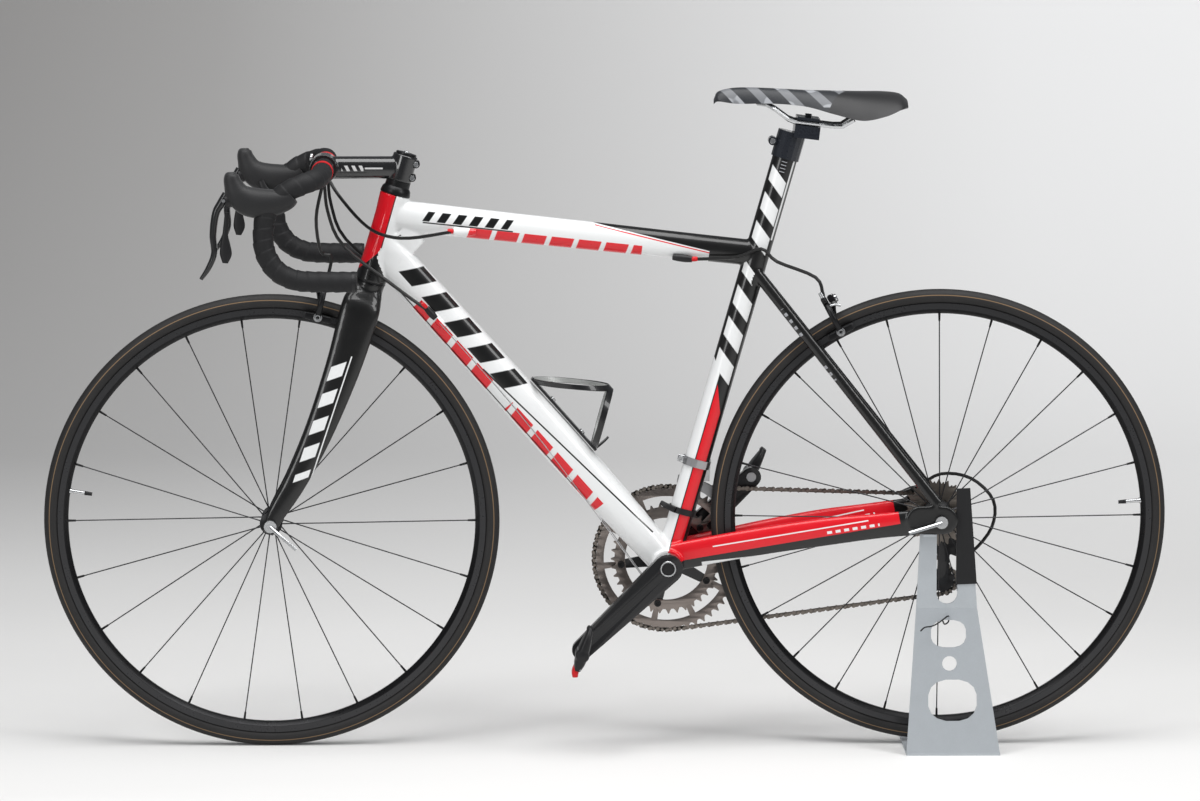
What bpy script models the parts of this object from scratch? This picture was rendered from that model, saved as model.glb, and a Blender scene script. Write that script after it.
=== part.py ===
"""Road bicycle standing in a folded steel display stand that holds its rear axle.

Frame: metres, +Z up.  The bicycle points along -X, its left side is -Y, and its middle plane is Y = 0.
The origin lies under the rear axle, on the flat underside of the stand's base.
"""
import math

import bmesh
import bpy
from mathutils import Matrix, Vector

# ---------------------------------------------------------------- driving dimensions
GAP = 0.0003                  # clearance between pieces that touch or fit

WHEELBASE = 0.978
TYRE_RADIUS = 0.334           # 700 x 23C
TYRE_SECTION = 0.0115         # radius of the tyre's round section
TYRE_EDGE_ANGLE = math.radians(140)   # where the tyre meets the rim, from its tread
RIM_DEPTH = 0.0155
RIM_HALF_WIDTH = 0.0098
RIM_NOSE_HALF_WIDTH = 0.0035
BRAKE_TRACK = 0.009
WHEEL_STEPS = 40
SPOKE_RADIUS = 0.001

REAR_AXLE_HEIGHT = 0.340      # the stand lifts the rear tyre just off its base
CHAINSTAY_RUN = 0.398         # bottom bracket ahead of the rear axle
BRACKET_HEIGHT = 0.270
HEAD_ANGLE = math.radians(74)
SEAT_ANGLE = math.radians(74)
FORK_RAKE = 0.043
FORK_LENGTH = 0.379           # axle level to crown race, along the steering axis
HEAD_TUBE_LENGTH = 0.133
MAST_LENGTH = 0.646           # bottom bracket to the top of the seat mast

HEAD_TUBE_RADIUS = 0.0222
STEERER_RADIUS = 0.0143
SPACER_LENGTH = 0.021
STEM_LENGTH = 0.1145
STEM_CLAMP_HEIGHT = 0.0385
BAR_RADIUS = 0.0122
BAR_CLAMP_RADIUS = 0.0159
TAPE_RADIUS = 0.0157
BAR_HALF_WIDTH = 0.210
BAR_REACH = 0.080
BAR_DROP = 0.146
BAR_END_LENGTH = 0.085

SEAT_TUBE_RADIUS = 0.0185
TOP_TUBE_HEIGHT = 0.475       # along the seat tube
TOP_TUBE_DROP = 0.032         # below the head tube's top end
DOWN_TUBE_DROP = 0.075
BRACKET_RADIUS = 0.0235
BRACKET_HALF_WIDTH = 0.034
STAY_HEIGHT = 0.450           # seatstays, along the seat tube

FRONT_HUB_HALF = 0.050
REAR_HUB_HALF = 0.065
DROPOUT_THICKNESS = 0.006
SKEWER_RADIUS = 0.0025

CRANK_LENGTH = 0.1725
CRANK_ANGLE = math.radians(43)    # left arm, forward and below the level
CRANK_AXLE_RADIUS = 0.012
CHAIN_PITCH = 0.0127
BIG_RING_TEETH = 53
SMALL_RING_TEETH = 39
COG_TEETH = 11
PULLEY_TEETH = 10
BIG_RING_Y = 0.045
SMALL_RING_Y = 0.038
RING_HALF_THICKNESS = 0.0015
CHAIN_HALF_WIDTH = 0.0028
CHAIN_HALF_HEIGHT = 0.0037
TOOTH_ROOT = 0.0040           # tooth root below the pitch circle
BOLT_CIRCLE = 0.0675
COG_Y = 0.0595
SPOKES_FRONT = 22
SPOKES_REAR = 24

STAND_SHEET = 0.004
STAND_PLATE_Y = -0.058        # middle of the upright plate, just inside the left dropout
STAND_FOOT_Y = -0.103
STAND_BASE_BACK_Y = 0.097
STAND_BEND_HEIGHT = 0.211
STAND_TOP = 0.384
STAND_SLOT_RADIUS = 0.0153
SLEEVE_WALL = 0.0016
SLEEVE_BOTTOM = 0.2465

# ---------------------------------------------------------------- places worked out from them
REAR_AXLE = Vector((0, 0, REAR_AXLE_HEIGHT))
FRONT_AXLE = Vector((-WHEELBASE, 0, TYRE_RADIUS))
BRACKET = Vector((-CHAINSTAY_RUN, 0, BRACKET_HEIGHT))
STEER_UP = Vector((math.cos(HEAD_ANGLE), 0, math.sin(HEAD_ANGLE)))
STEER_AHEAD = Vector((-math.sin(HEAD_ANGLE), 0, math.cos(HEAD_ANGLE)))
STEER_BASE = FRONT_AXLE - FORK_RAKE * STEER_AHEAD
SEAT_UP = Vector((math.cos(SEAT_ANGLE), 0, math.sin(SEAT_ANGLE)))
ALONG_Y = Vector((0, 1, 0))
BACK = Vector((1, 0, 0))

HEAD_BOTTOM = FORK_LENGTH
HEAD_TOP = HEAD_BOTTOM + HEAD_TUBE_LENGTH
STEM_BOTTOM = HEAD_TOP + SPACER_LENGTH
STEM_TOP = STEM_BOTTOM + STEM_CLAMP_HEIGHT
RIM_OUTER = TYRE_RADIUS - TYRE_SECTION + TYRE_SECTION * math.cos(TYRE_EDGE_ANGLE) - GAP
RIM_INNER = RIM_OUTER - RIM_DEPTH


def at_steerer(height, ahead=0.0, side=0.0):
    """A point given from the steering axis: up along it, ahead of it and to the side."""
    return STEER_BASE + height * STEER_UP + ahead * STEER_AHEAD + side * ALONG_Y


def at_seat(height, behind=0.0, side=0.0):
    """A point given from the seat tube's axis: up along it, behind it and to the side."""
    return BRACKET + height * SEAT_UP + behind * Vector((SEAT_UP.z, 0, -SEAT_UP.x)) + side * ALONG_Y


def pitch_radius(teeth):
    return CHAIN_PITCH / (2 * math.sin(math.pi / teeth))


STEM_CENTRE = at_steerer((STEM_BOTTOM + STEM_TOP) / 2)
BAR_CENTRE = STEM_CENTRE - STEM_LENGTH * BACK
LEFT_PEDAL = BRACKET - CRANK_LENGTH * Vector((math.cos(CRANK_ANGLE), 0, math.sin(CRANK_ANGLE)))
RIGHT_PEDAL = 2 * BRACKET - LEFT_PEDAL
GUIDE_PULLEY = REAR_AXLE + Vector((0.014, COG_Y, -0.054))
TENSION_PULLEY = REAR_AXLE + Vector((0.012, COG_Y, -0.106))

# ---------------------------------------------------------------- scene, materials, building tools
for old in list(bpy.data.objects):
    bpy.data.objects.remove(old, do_unlink=True)

PARTS = bpy.data.collections.new("bicycle_on_stand")
CUTTERS = bpy.data.collections.new("cutters")
bpy.context.scene.collection.children.link(PARTS)
bpy.context.scene.collection.children.link(CUTTERS)


def material(name, colour, roughness, metallic=0.0):
    made = bpy.data.materials.new(name)
    made.use_nodes = True
    shader = made.node_tree.nodes["Principled BSDF"]
    shader.inputs["Base Color"].default_value = (*colour, 1)
    shader.inputs["Roughness"].default_value = roughness
    shader.inputs["Metallic"].default_value = metallic
    return made


WHITE_PAINT = material("white_paint", (0.80, 0.81, 0.80), 0.25)
RED_PAINT = material("red_paint", (0.62, 0.02, 0.02), 0.25)
BLACK_CARBON = material("black_carbon", (0.012, 0.012, 0.013), 0.22)
BLACK_ALLOY = material("black_alloy", (0.02, 0.02, 0.022), 0.38, 0.6)
SILVER_ALLOY = material("silver_alloy", (0.62, 0.63, 0.64), 0.28, 1.0)
BRONZE_ALLOY = material("bronze_alloy", (0.30, 0.25, 0.22), 0.38, 1.0)
CHAIN_STEEL = material("chain_steel", (0.24, 0.21, 0.19), 0.42, 1.0)
TYRE_RUBBER = material("tyre_rubber", (0.018, 0.017, 0.017), 0.75)
GRIP_RUBBER = material("grip_rubber", (0.022, 0.022, 0.024), 0.7)
SADDLE_COVER = material("saddle_cover", (0.05, 0.052, 0.056), 0.6)
STAND_PAINT = material("stand_paint", (0.42, 0.45, 0.48), 0.42, 0.5)
CABLE_BLACK = material("cable_black", (0.01, 0.01, 0.01), 0.4)


def dress(thing, finish, cutter=False):
    """Give a new object its material and its collection."""
    if finish:
        thing.data.materials.append(finish)
    (CUTTERS if cutter else PARTS).objects.link(thing)
    if cutter:
        thing.hide_render = True
        thing.display_type = 'WIRE'
    return thing


def from_bmesh(name, shape, origin, finish, cutter=False):
    """Make an object from a bmesh given in world coordinates, with its origin at a point."""
    bmesh.ops.translate(shape, verts=shape.verts, vec=-Vector(origin))
    bmesh.ops.recalc_face_normals(shape, faces=shape.faces)
    mesh = bpy.data.meshes.new(name)
    shape.to_mesh(mesh)
    shape.free()
    mesh.shade_smooth()
    mesh.set_sharp_from_angle(angle=math.radians(35))
    thing = bpy.data.objects.new(name, mesh)
    thing.location = origin
    return dress(thing, finish, cutter)


def loft(name, rings, finish, closed=False, cutter=False):
    """Skin rings of equal point counts; an open loft gets a flat cap at each end."""
    shape = bmesh.new()
    skins = [[shape.verts.new(point) for point in ring] for ring in rings]
    pairs = list(zip(skins, skins[1:]))
    if closed:
        pairs.append((skins[-1], skins[0]))
    for lower, upper in pairs:
        count = len(lower)
        for i in range(count):
            j = (i + 1) % count
            shape.faces.new((lower[i], lower[j], upper[j], upper[i]))
    if not closed:
        shape.faces.new(reversed(skins[0]))
        shape.faces.new(skins[-1])
    return from_bmesh(name, shape, rings[0][0], finish, cutter)


def frames_along(path, closed=False):
    """Carry a steady pair of side directions along a path; the second starts out near Y."""
    count = len(path)
    tangents = []
    for i, point in enumerate(path):
        ahead = path[(i + 1) % count] if closed or i + 1 < count else point
        behind = path[i - 1] if closed or i else point
        tangents.append((ahead - behind).normalized())
    side = ALONG_Y if abs(tangents[0].y) < 0.9 else BACK
    frames = []
    for tangent in tangents:
        side = (side - side.dot(tangent) * tangent).normalized()
        frames.append((side.cross(tangent), side))
    return frames


def sweep(name, stations, finish, sides=12, power=2.0, closed=False, cutter=False, grow=0.0):
    """Sweep an oval along stations of (point, half depth, half width), the width lying near Y.

    A power of 2 is an ellipse and a higher one is a rounder-cornered box; None is a plain box.
    """
    path = [Vector(station[0]) for station in stations]
    rings = []
    for (_, depth, width), point, (up, side) in zip(stations, path, frames_along(path, closed)):
        depth, width = depth + grow, width + grow
        if power is None:
            corners = ((1, 1), (-1, 1), (-1, -1), (1, -1))
            rings.append([point + depth * a * up + width * b * side for a, b in corners])
            continue
        ring = []
        for i in range(sides):
            angle = 2 * math.pi * (i + 0.5) / sides
            a, b = math.cos(angle), math.sin(angle)
            a = math.copysign(abs(a) ** (2 / power), a)
            b = math.copysign(abs(b) ** (2 / power), b)
            ring.append(point + depth * a * up + width * b * side)
        rings.append(ring)
    return loft(name, rings, finish, closed, cutter)


def turned(name, profile, origin, axis, finish, steps=20, hollow=False, cutter=False):
    """Turn a profile of (radius, height) about an axis through the origin with a Screw modifier."""
    area = sum(a[0] * b[1] - b[0] * a[1] for a, b in zip(profile, profile[1:] + profile[:1]))
    if area > 0:
        profile = list(reversed(profile))
    if not hollow:
        while profile[0][0] > 0 or profile[-1][0] > 0:
            profile = profile[1:] + profile[:1]
    mesh = bpy.data.meshes.new(name)
    edges = [(i, i + 1) for i in range(len(profile) - 1)]
    if hollow:
        edges.append((len(profile) - 1, 0))
    mesh.from_pydata([(radius, 0, height) for radius, height in profile], edges, [])
    thing = bpy.data.objects.new(name, mesh)
    thing.location = origin
    thing.rotation_euler = Vector(axis).to_track_quat('Z', 'Y').to_euler()
    dress(thing, finish, cutter)
    screw = thing.modifiers.new("turn", 'SCREW')
    screw.steps = steps
    screw.render_steps = steps
    screw.use_merge_vertices = True
    screw.merge_threshold = 0.00001
    screw.use_smooth_shade = True
    return thing


def rod(name, start, end, radius, finish, sides=12, cutter=False):
    """A plain round rod between two points."""
    start, end = Vector(start), Vector(end)
    shape = bmesh.new()
    bmesh.ops.create_cone(shape, cap_ends=True, segments=sides, radius1=radius, radius2=radius,
                          depth=(end - start).length)
    turn = (end - start).to_track_quat('Z', 'Y').to_matrix().to_4x4()
    shape.transform(Matrix.Translation((start + end) / 2) @ turn)
    return from_bmesh(name, shape, start, finish, cutter)


def block(name, low, high, finish, cutter=False):
    """A box between two corners."""
    low, high = Vector(low), Vector(high)
    shape = bmesh.new()
    bmesh.ops.create_cube(shape, size=1)
    bmesh.ops.scale(shape, verts=shape.verts, vec=high - low)
    bmesh.ops.translate(shape, verts=shape.verts, vec=(low + high) / 2)
    return from_bmesh(name, shape, low, finish, cutter)


def link_plate(name, start, end, radii, y_start, y_end, finish, cutter=False, sides=8):
    """A flat link with round ends in the XZ plane, whose (low, high) y range may lean from end to end."""
    start, end = Vector(start), Vector(end)
    along = (end - start).xz.normalized()
    heading = math.atan2(along.y, along.x)
    spread = math.acos((radii[0] - radii[1]) / (end - start).xz.length)
    outline = []
    for i in range(sides + 1):
        angle = heading + spread + (2 * math.pi - 2 * spread) * i / sides
        outline.append((start, radii[0], angle, y_start))
    for i in range(sides + 1):
        angle = heading - spread + 2 * spread * i / sides
        outline.append((end, radii[1], angle, y_end))
    rings = []
    for level in (0, 1):
        rings.append([Vector((centre.x + radius * math.cos(angle), y_range[level],
                              centre.z + radius * math.sin(angle)))
                      for centre, radius, angle, y_range in outline])
    return loft(name, rings, finish, cutter=cutter)


def boolean(thing, other, operation):
    step = thing.modifiers.new(operation.lower(), 'BOOLEAN')
    step.operation = operation
    step.object = other
    step.solver = 'EXACT'


def join(thing, *others):
    for other in others:
        boolean(thing, other, 'UNION')
    return thing


def cut(thing, *others):
    for other in others:
        boolean(thing, other, 'DIFFERENCE')
    return thing


def bore(thing, centre, radius, half_length, axis=ALONG_Y, sides=12):
    """Cut a round hole through a piece."""
    axis = Vector(axis)
    centre = Vector(centre)
    drill = rod(thing.name + "_bore", centre - half_length * axis, centre + half_length * axis,
                radius, None, sides, cutter=True)
    return cut(thing, drill)


def curve_tube(name, points, radius, finish, resolution=2):
    """A wire or housing: a poly curve through points read from a smooth curve."""
    line = bpy.data.curves.new(name, 'CURVE')
    line.dimensions = '3D'
    line.bevel_depth = radius
    line.bevel_resolution = resolution
    line.use_fill_caps = True
    spline = line.splines.new('POLY')
    spline.points.add(len(points) - 1)
    origin = Vector(points[0])
    for slot, point in zip(spline.points, points):
        slot.co = (*(Vector(point) - origin), 1)
    thing = bpy.data.objects.new(name, line)
    thing.location = origin
    return dress(thing, finish)


def smooth_path(knots, per_span=5):
    """Read a Catmull-Rom curve through the knots."""
    knots = [Vector(knot) for knot in knots]
    ends = [2 * knots[0] - knots[1]] + knots + [2 * knots[-1] - knots[-2]]
    path = []
    for a, b, c, d in zip(ends, ends[1:], ends[2:], ends[3:]):
        for i in range(per_span):
            t = i / per_span
            path.append(0.5 * ((2 * b) + (c - a) * t + (2 * a - 5 * b + 4 * c - d) * t ** 2
                               + (3 * b - a - 3 * c + d) * t ** 3))
    path.append(knots[-1])
    return path


def pivot(name, location, things):
    """Hang the pieces of one moving body on an empty that stands on its joint's axis."""
    empty = bpy.data.objects.new("pivot_" + name, None)
    empty.location = location
    empty.empty_display_size = 0.02
    PARTS.objects.link(empty)
    for thing in things:
        thing.parent = empty
        thing.matrix_parent_inverse = Matrix.Translation(-Vector(location))


# ---------------------------------------------------------------- wheels
def wheel(end, axle, hub_profile, spokes, flange_y, flange_radius):
    """Tyre, rim, and a hub laced with radial spokes that alternate between its two flanges."""
    centre = TYRE_RADIUS - TYRE_SECTION
    tyre_profile = []
    tyre_points = 6
    for i in range(tyre_points + 1):
        angle = TYRE_EDGE_ANGLE * (2 * i / tyre_points - 1)
        tyre_profile.append((centre + TYRE_SECTION * math.cos(angle), TYRE_SECTION * math.sin(angle)))
    tyre = turned(end + "_tyre", tyre_profile, axle, ALONG_Y, TYRE_RUBBER, WHEEL_STEPS, hollow=True)

    half, nose = RIM_HALF_WIDTH, RIM_NOSE_HALF_WIDTH
    rim_profile = [(RIM_OUTER, half), (RIM_OUTER - BRAKE_TRACK, half), (RIM_INNER, nose),
                   (RIM_INNER, -nose), (RIM_OUTER - BRAKE_TRACK, -half), (RIM_OUTER, -half)]
    rim = turned(end + "_rim", rim_profile, axle, ALONG_Y, BLACK_ALLOY, WHEEL_STEPS, hollow=True)

    hub = turned(end + "_hub_and_spokes", hub_profile, axle, ALONG_Y, BLACK_ALLOY, 16, hollow=True)
    lacing = bmesh.new()
    for i in range(spokes):
        side = i % 2
        angle = 2 * math.pi * i / spokes
        outward = Vector((math.cos(angle), 0, math.sin(angle)))
        root = axle + flange_radius[side] * 0.8 * outward + flange_y[side] * ALONG_Y
        nose_y = math.copysign(RIM_NOSE_HALF_WIDTH / 2, flange_y[side])
        tip = axle + (RIM_INNER * math.cos(math.pi / WHEEL_STEPS) - GAP) * outward + nose_y * ALONG_Y
        turn = (tip - root).to_track_quat('Z', 'Y').to_matrix().to_4x4()
        bmesh.ops.create_cone(lacing, cap_ends=True, segments=3, radius1=SPOKE_RADIUS,
                              radius2=SPOKE_RADIUS, depth=(tip - root).length,
                              matrix=Matrix.Translation((tip + root) / 2) @ turn)
    join(hub, from_bmesh(end + "_spokes", lacing, axle, None, cutter=True))
    return [tyre, rim, hub]


FRONT_FLANGE_Y = 0.035
FRONT_FLANGE_RADIUS = 0.0165
FRONT_AXLE_RADIUS = 0.005
END_CAP = 0.006               # length of the locknut at each end of a hub


def front_wheel():
    bore_radius = FRONT_AXLE_RADIUS + GAP
    end_y = FRONT_HUB_HALF - END_CAP - GAP
    flange, y = FRONT_FLANGE_RADIUS, FRONT_FLANGE_Y
    barrel = 0.0095
    outer = [(0.008, end_y), (0.008, y + 0.003), (flange, y + 0.0015), (flange, y - 0.0015),
             (barrel, y - 0.005)]
    profile = outer + [(r, -h) for r, h in reversed(outer)]
    profile += [(bore_radius, -end_y), (bore_radius, end_y)]
    return wheel("front", FRONT_AXLE, profile, SPOKES_FRONT, (-y, y), (flange, flange))


REAR_LEFT_FLANGE_Y = 0.035
REAR_RIGHT_FLANGE_Y = 0.0175
REAR_LEFT_FLANGE_RADIUS = 0.017
REAR_RIGHT_FLANGE_RADIUS = 0.021
REAR_AXLE_RADIUS = 0.0062
HUB_SHELL_END_Y = 0.0215      # the freehub starts here


def rear_wheel():
    bore_radius = REAR_AXLE_RADIUS + GAP
    left_end = REAR_HUB_HALF - END_CAP - GAP
    left, right = REAR_LEFT_FLANGE_RADIUS, REAR_RIGHT_FLANGE_RADIUS
    profile = [(0.010, -left_end), (0.010, -REAR_LEFT_FLANGE_Y - 0.004),
               (left, -REAR_LEFT_FLANGE_Y - 0.0015), (left, -REAR_LEFT_FLANGE_Y + 0.0015),
               (0.0105, -REAR_LEFT_FLANGE_Y + 0.006), (0.0125, REAR_RIGHT_FLANGE_Y - 0.006),
               (right, REAR_RIGHT_FLANGE_Y - 0.0015), (right, REAR_RIGHT_FLANGE_Y + 0.0015),
               (0.014, HUB_SHELL_END_Y), (bore_radius, HUB_SHELL_END_Y), (bore_radius, -left_end)]
    return wheel("rear", REAR_AXLE, profile, SPOKES_REAR,
                 (-REAR_LEFT_FLANGE_Y, REAR_RIGHT_FLANGE_Y), (left, right))


NUT_LENGTH = 0.011
NUT_RADIUS = 0.0092


def skewer(name, axle, hub_half, tip_outer, axle_radius):
    """Hub axle with its locknuts, and the quick-release rod with its nut and cam housing."""
    cap_inner = hub_half - END_CAP
    seat = hub_half - GAP
    side = [(axle_radius, 0.0), (axle_radius, cap_inner), (0.0085, cap_inner), (0.0085, seat),
            (SKEWER_RADIUS, seat), (SKEWER_RADIUS, tip_outer + GAP), (NUT_RADIUS, tip_outer + GAP),
            (NUT_RADIUS, tip_outer + NUT_LENGTH), (0, tip_outer + NUT_LENGTH)]
    profile = [(r, -h) for r, h in reversed(side[1:])] + side[1:]
    return turned(name, profile, axle, ALONG_Y, SILVER_ALLOY, 12)


LEVER_LENGTH = 0.050
LEVER_RADIUS = 0.0028


def quick_release_lever(name, axle, tip_outer, heading):
    """Cam lever on the left side; the heading lies in the XZ plane."""
    heading = Vector(heading).normalized()
    root = axle - (tip_outer + NUT_LENGTH + LEVER_RADIUS + GAP) * ALONG_Y
    knots = [root, root + 0.4 * LEVER_LENGTH * heading - 0.003 * ALONG_Y,
             root + LEVER_LENGTH * heading - 0.004 * ALONG_Y]
    return root, sweep(name, [(p, LEVER_RADIUS, LEVER_RADIUS) for p in smooth_path(knots, 2)],
                       SILVER_ALLOY, 8)


REAR_DROPOUT_OUTER = REAR_HUB_HALF + GAP + DROPOUT_THICKNESS
FORK_TIP_OUTER = FRONT_HUB_HALF + 0.0078
REAR_LEVER_HEADING = (-0.96, 0, -0.28)
FRONT_LEVER_HEADING = (0.76, 0, -0.65)

front_wheel_pieces = front_wheel()
rear_wheel_pieces = rear_wheel()
front_axle_piece = skewer("front_axle", FRONT_AXLE, FRONT_HUB_HALF, FORK_TIP_OUTER, FRONT_AXLE_RADIUS)
skewer("rear_axle", REAR_AXLE, REAR_HUB_HALF, REAR_DROPOUT_OUTER, REAR_AXLE_RADIUS)
front_lever_root, front_lever = quick_release_lever("front_quick_release_lever", FRONT_AXLE,
                                                    FORK_TIP_OUTER, FRONT_LEVER_HEADING)
rear_lever_root, rear_lever = quick_release_lever("rear_quick_release_lever", REAR_AXLE,
                                                  REAR_DROPOUT_OUTER, REAR_LEVER_HEADING)


# ---------------------------------------------------------------- frame
def head_tube_profile(grow=0.0):
    """Outer side of the head tube, slightly waisted, as (radius, height along the steering axis)."""
    return [(HEAD_TUBE_RADIUS + grow, HEAD_TOP), (HEAD_TUBE_RADIUS - 0.0015 + grow, HEAD_TOP - 0.03),
            (HEAD_TUBE_RADIUS - 0.001 + grow, HEAD_BOTTOM + 0.04),
            (HEAD_TUBE_RADIUS + 0.0008 + grow, HEAD_BOTTOM)]


HEAD_STEPS = 20
STEERER_BORE = STEERER_RADIUS + GAP
head_tube = turned("head_tube", head_tube_profile() + [(STEERER_BORE, HEAD_BOTTOM), (STEERER_BORE, HEAD_TOP)],
                   STEER_BASE, STEER_UP, RED_PAINT, HEAD_STEPS, hollow=True)
head_cutter = turned("head_tube_cutter", [(0, HEAD_TOP)] + head_tube_profile(GAP) + [(0, HEAD_BOTTOM)],
                     STEER_BASE, STEER_UP, None, HEAD_STEPS, cutter=True)

SEAT_TUBE_START = 0.010       # from the bottom bracket's centre, cut back by its shell


def seat_tube_stations():
    return [(at_seat(SEAT_TUBE_START), SEAT_TUBE_RADIUS, SEAT_TUBE_RADIUS),
            (at_seat(MAST_LENGTH * 0.5), SEAT_TUBE_RADIUS, SEAT_TUBE_RADIUS),
            (at_seat(MAST_LENGTH), SEAT_TUBE_RADIUS, SEAT_TUBE_RADIUS)]


seat_tube = sweep("seat_tube", seat_tube_stations(), BLACK_CARBON, 16)
seat_cutter = sweep("seat_tube_cutter", seat_tube_stations(), None, 16, cutter=True, grow=GAP)

turned("bottom_bracket_shell",
       [(BRACKET_RADIUS, BRACKET_HALF_WIDTH), (BRACKET_RADIUS, -BRACKET_HALF_WIDTH),
        (CRANK_AXLE_RADIUS + GAP, -BRACKET_HALF_WIDTH),
        (CRANK_AXLE_RADIUS + GAP, BRACKET_HALF_WIDTH)],
       BRACKET, ALONG_Y, BLACK_CARBON, 20, hollow=True)
bracket_cutter = turned("bracket_cutter", [(0, BRACKET_HALF_WIDTH + 0.01),
                                           (BRACKET_RADIUS + GAP, BRACKET_HALF_WIDTH + 0.01),
                                           (BRACKET_RADIUS + GAP, -BRACKET_HALF_WIDTH - 0.01),
                                           (0, -BRACKET_HALF_WIDTH - 0.01)],
                        BRACKET, ALONG_Y, None, 20, cutter=True)
cut(seat_tube, bracket_cutter)


def tube_between(start, end, sizes):
    """Stations spread evenly from start to end, with (half depth, half width) sizes."""
    steps = len(sizes) - 1
    return [(Vector(start).lerp(Vector(end), i / steps), *size) for i, size in enumerate(sizes)]


top_tube_stations = tube_between(at_steerer(HEAD_TOP - TOP_TUBE_DROP), at_seat(TOP_TUBE_HEIGHT),
                                 [(0.0235, 0.019), (0.022, 0.0185), (0.021, 0.018), (0.0205, 0.0175),
                                  (0.0195, 0.017), (0.019, 0.0165)])
top_tube = sweep("top_tube", top_tube_stations, WHITE_PAINT, 14, 2.4)
top_cutter = sweep("top_tube_cutter", top_tube_stations, None, 14, 2.4, cutter=True, grow=GAP)
cut(top_tube, head_cutter, seat_cutter)

down_tube_stations = tube_between(at_steerer(HEAD_TOP - DOWN_TUBE_DROP), BRACKET,
                                  [(0.028, 0.020), (0.0285, 0.022), (0.029, 0.0245), (0.030, 0.0265),
                                   (0.028, 0.028), (0.0235, 0.030)])
down_tube = sweep("down_tube", down_tube_stations, WHITE_PAINT, 14, 2.5)
down_cutter = sweep("down_tube_cutter", down_tube_stations, None, 14, 2.5, cutter=True, grow=GAP)
cut(down_tube, head_cutter, top_cutter, seat_cutter, bracket_cutter)

DROPOUT_FRONT = Vector((-0.030, 0, 0.002))   # from the rear axle
DROPOUT_BACK = Vector((0.004, 0, 0.002))
DROPOUT_RADIUS = 0.0205
HANGER_BOLT = Vector((0.010, 0, -0.028))
CHAINSTAY_DEPTH = 0.0205


def dropout(name, side, grow=0.0, cutter=False):
    """Plate that holds the axle; the right one also carries the derailleur hanger."""
    near = REAR_HUB_HALF + GAP
    y_range = sorted((side * (near - grow), side * (near + DROPOUT_THICKNESS + grow)))
    radii = (DROPOUT_RADIUS + grow, DROPOUT_RADIUS + grow)
    return link_plate(name, REAR_AXLE + DROPOUT_FRONT, REAR_AXLE + DROPOUT_BACK, radii,
                      y_range, y_range, None, cutter=True)


def chainstay(name, side, finish):
    across = (0.018, 0.0235, 0.034, 0.045, 0.056, 0.0655)
    widths = (0.008, 0.0085, 0.009, 0.009, 0.0075, 0.0055)
    run = (0.0, 0.16, 0.38, 0.60, 0.80, 0.95)
    start = BRACKET + Vector((0.006, 0, 0.010))
    end = REAR_AXLE + Vector((-0.020, 0, 0.0))
    stations = []
    for t, y, width in zip(run, across, widths):
        point = start.lerp(end, t) + Vector((0, side * y, 0.006 * math.sin(math.pi * t)))
        depth = CHAINSTAY_DEPTH - (0.0020 if t > 0.7 else 0.0)
        stations.append((point, depth, width))
    stay = sweep(name, stations, finish, 10, 2.6)
    join(stay, dropout(name + "_dropout", side))
    if side > 0:
        low = REAR_HUB_HALF + GAP
        y_range = (low, low + DROPOUT_THICKNESS)
        join(stay, link_plate("hanger", REAR_AXLE + DROPOUT_BACK, REAR_AXLE + HANGER_BOLT,
                              (0.010, 0.008), y_range, y_range, None, cutter=True))
    cut(stay, bracket_cutter, seat_cutter, down_cutter)
    return bore(stay, REAR_AXLE + side * REAR_HUB_HALF * ALONG_Y, SKEWER_RADIUS + GAP, 0.012)


left_chainstay = chainstay("left_chainstay", -1, RED_PAINT)
right_chainstay = chainstay("right_chainstay", 1, RED_PAINT)


def seatstay_stations(side):
    start = at_seat(STAY_HEIGHT, 0.004)
    end = REAR_AXLE + Vector((-0.004, 0, 0.024))
    across = (0.012, 0.024, 0.031, 0.042, 0.055, REAR_HUB_HALF + GAP + DROPOUT_THICKNESS / 2)
    return [(start.lerp(end, i / 5) + side * y * ALONG_Y, 0.0078, 0.0065 if i < 5 else 0.0040)
            for i, y in enumerate(across)]


def seatstay(name, side):
    stay = sweep(name, seatstay_stations(side), BLACK_CARBON, 10, 2.2)
    return cut(stay, seat_cutter, dropout(name + "_dropout_cutter", side, GAP, cutter=True))


left_seatstay = seatstay("left_seatstay", -1)
right_seatstay = seatstay("right_seatstay", 1)
BRIDGE_FRACTION = 0.185       # down the seatstays
bridge_at = at_seat(STAY_HEIGHT, 0.004).lerp(REAR_AXLE + Vector((-0.004, 0, 0.024)), BRIDGE_FRACTION)
bridge = rod("seatstay_bridge", bridge_at - 0.022 * ALONG_Y, bridge_at + 0.022 * ALONG_Y, 0.0065,
             None, 10, cutter=True)
left_stay_cutter = sweep("left_seatstay_cutter", seatstay_stations(-1), None, 10, 2.2, cutter=True,
                         grow=GAP)
cut(bridge, left_stay_cutter, seat_cutter)
join(right_seatstay, bridge)


# ---------------------------------------------------------------- fork, headset, stem and bars
CROWN_HEIGHT = 0.027
STEERER_TOP = STEM_TOP - 0.006


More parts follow.
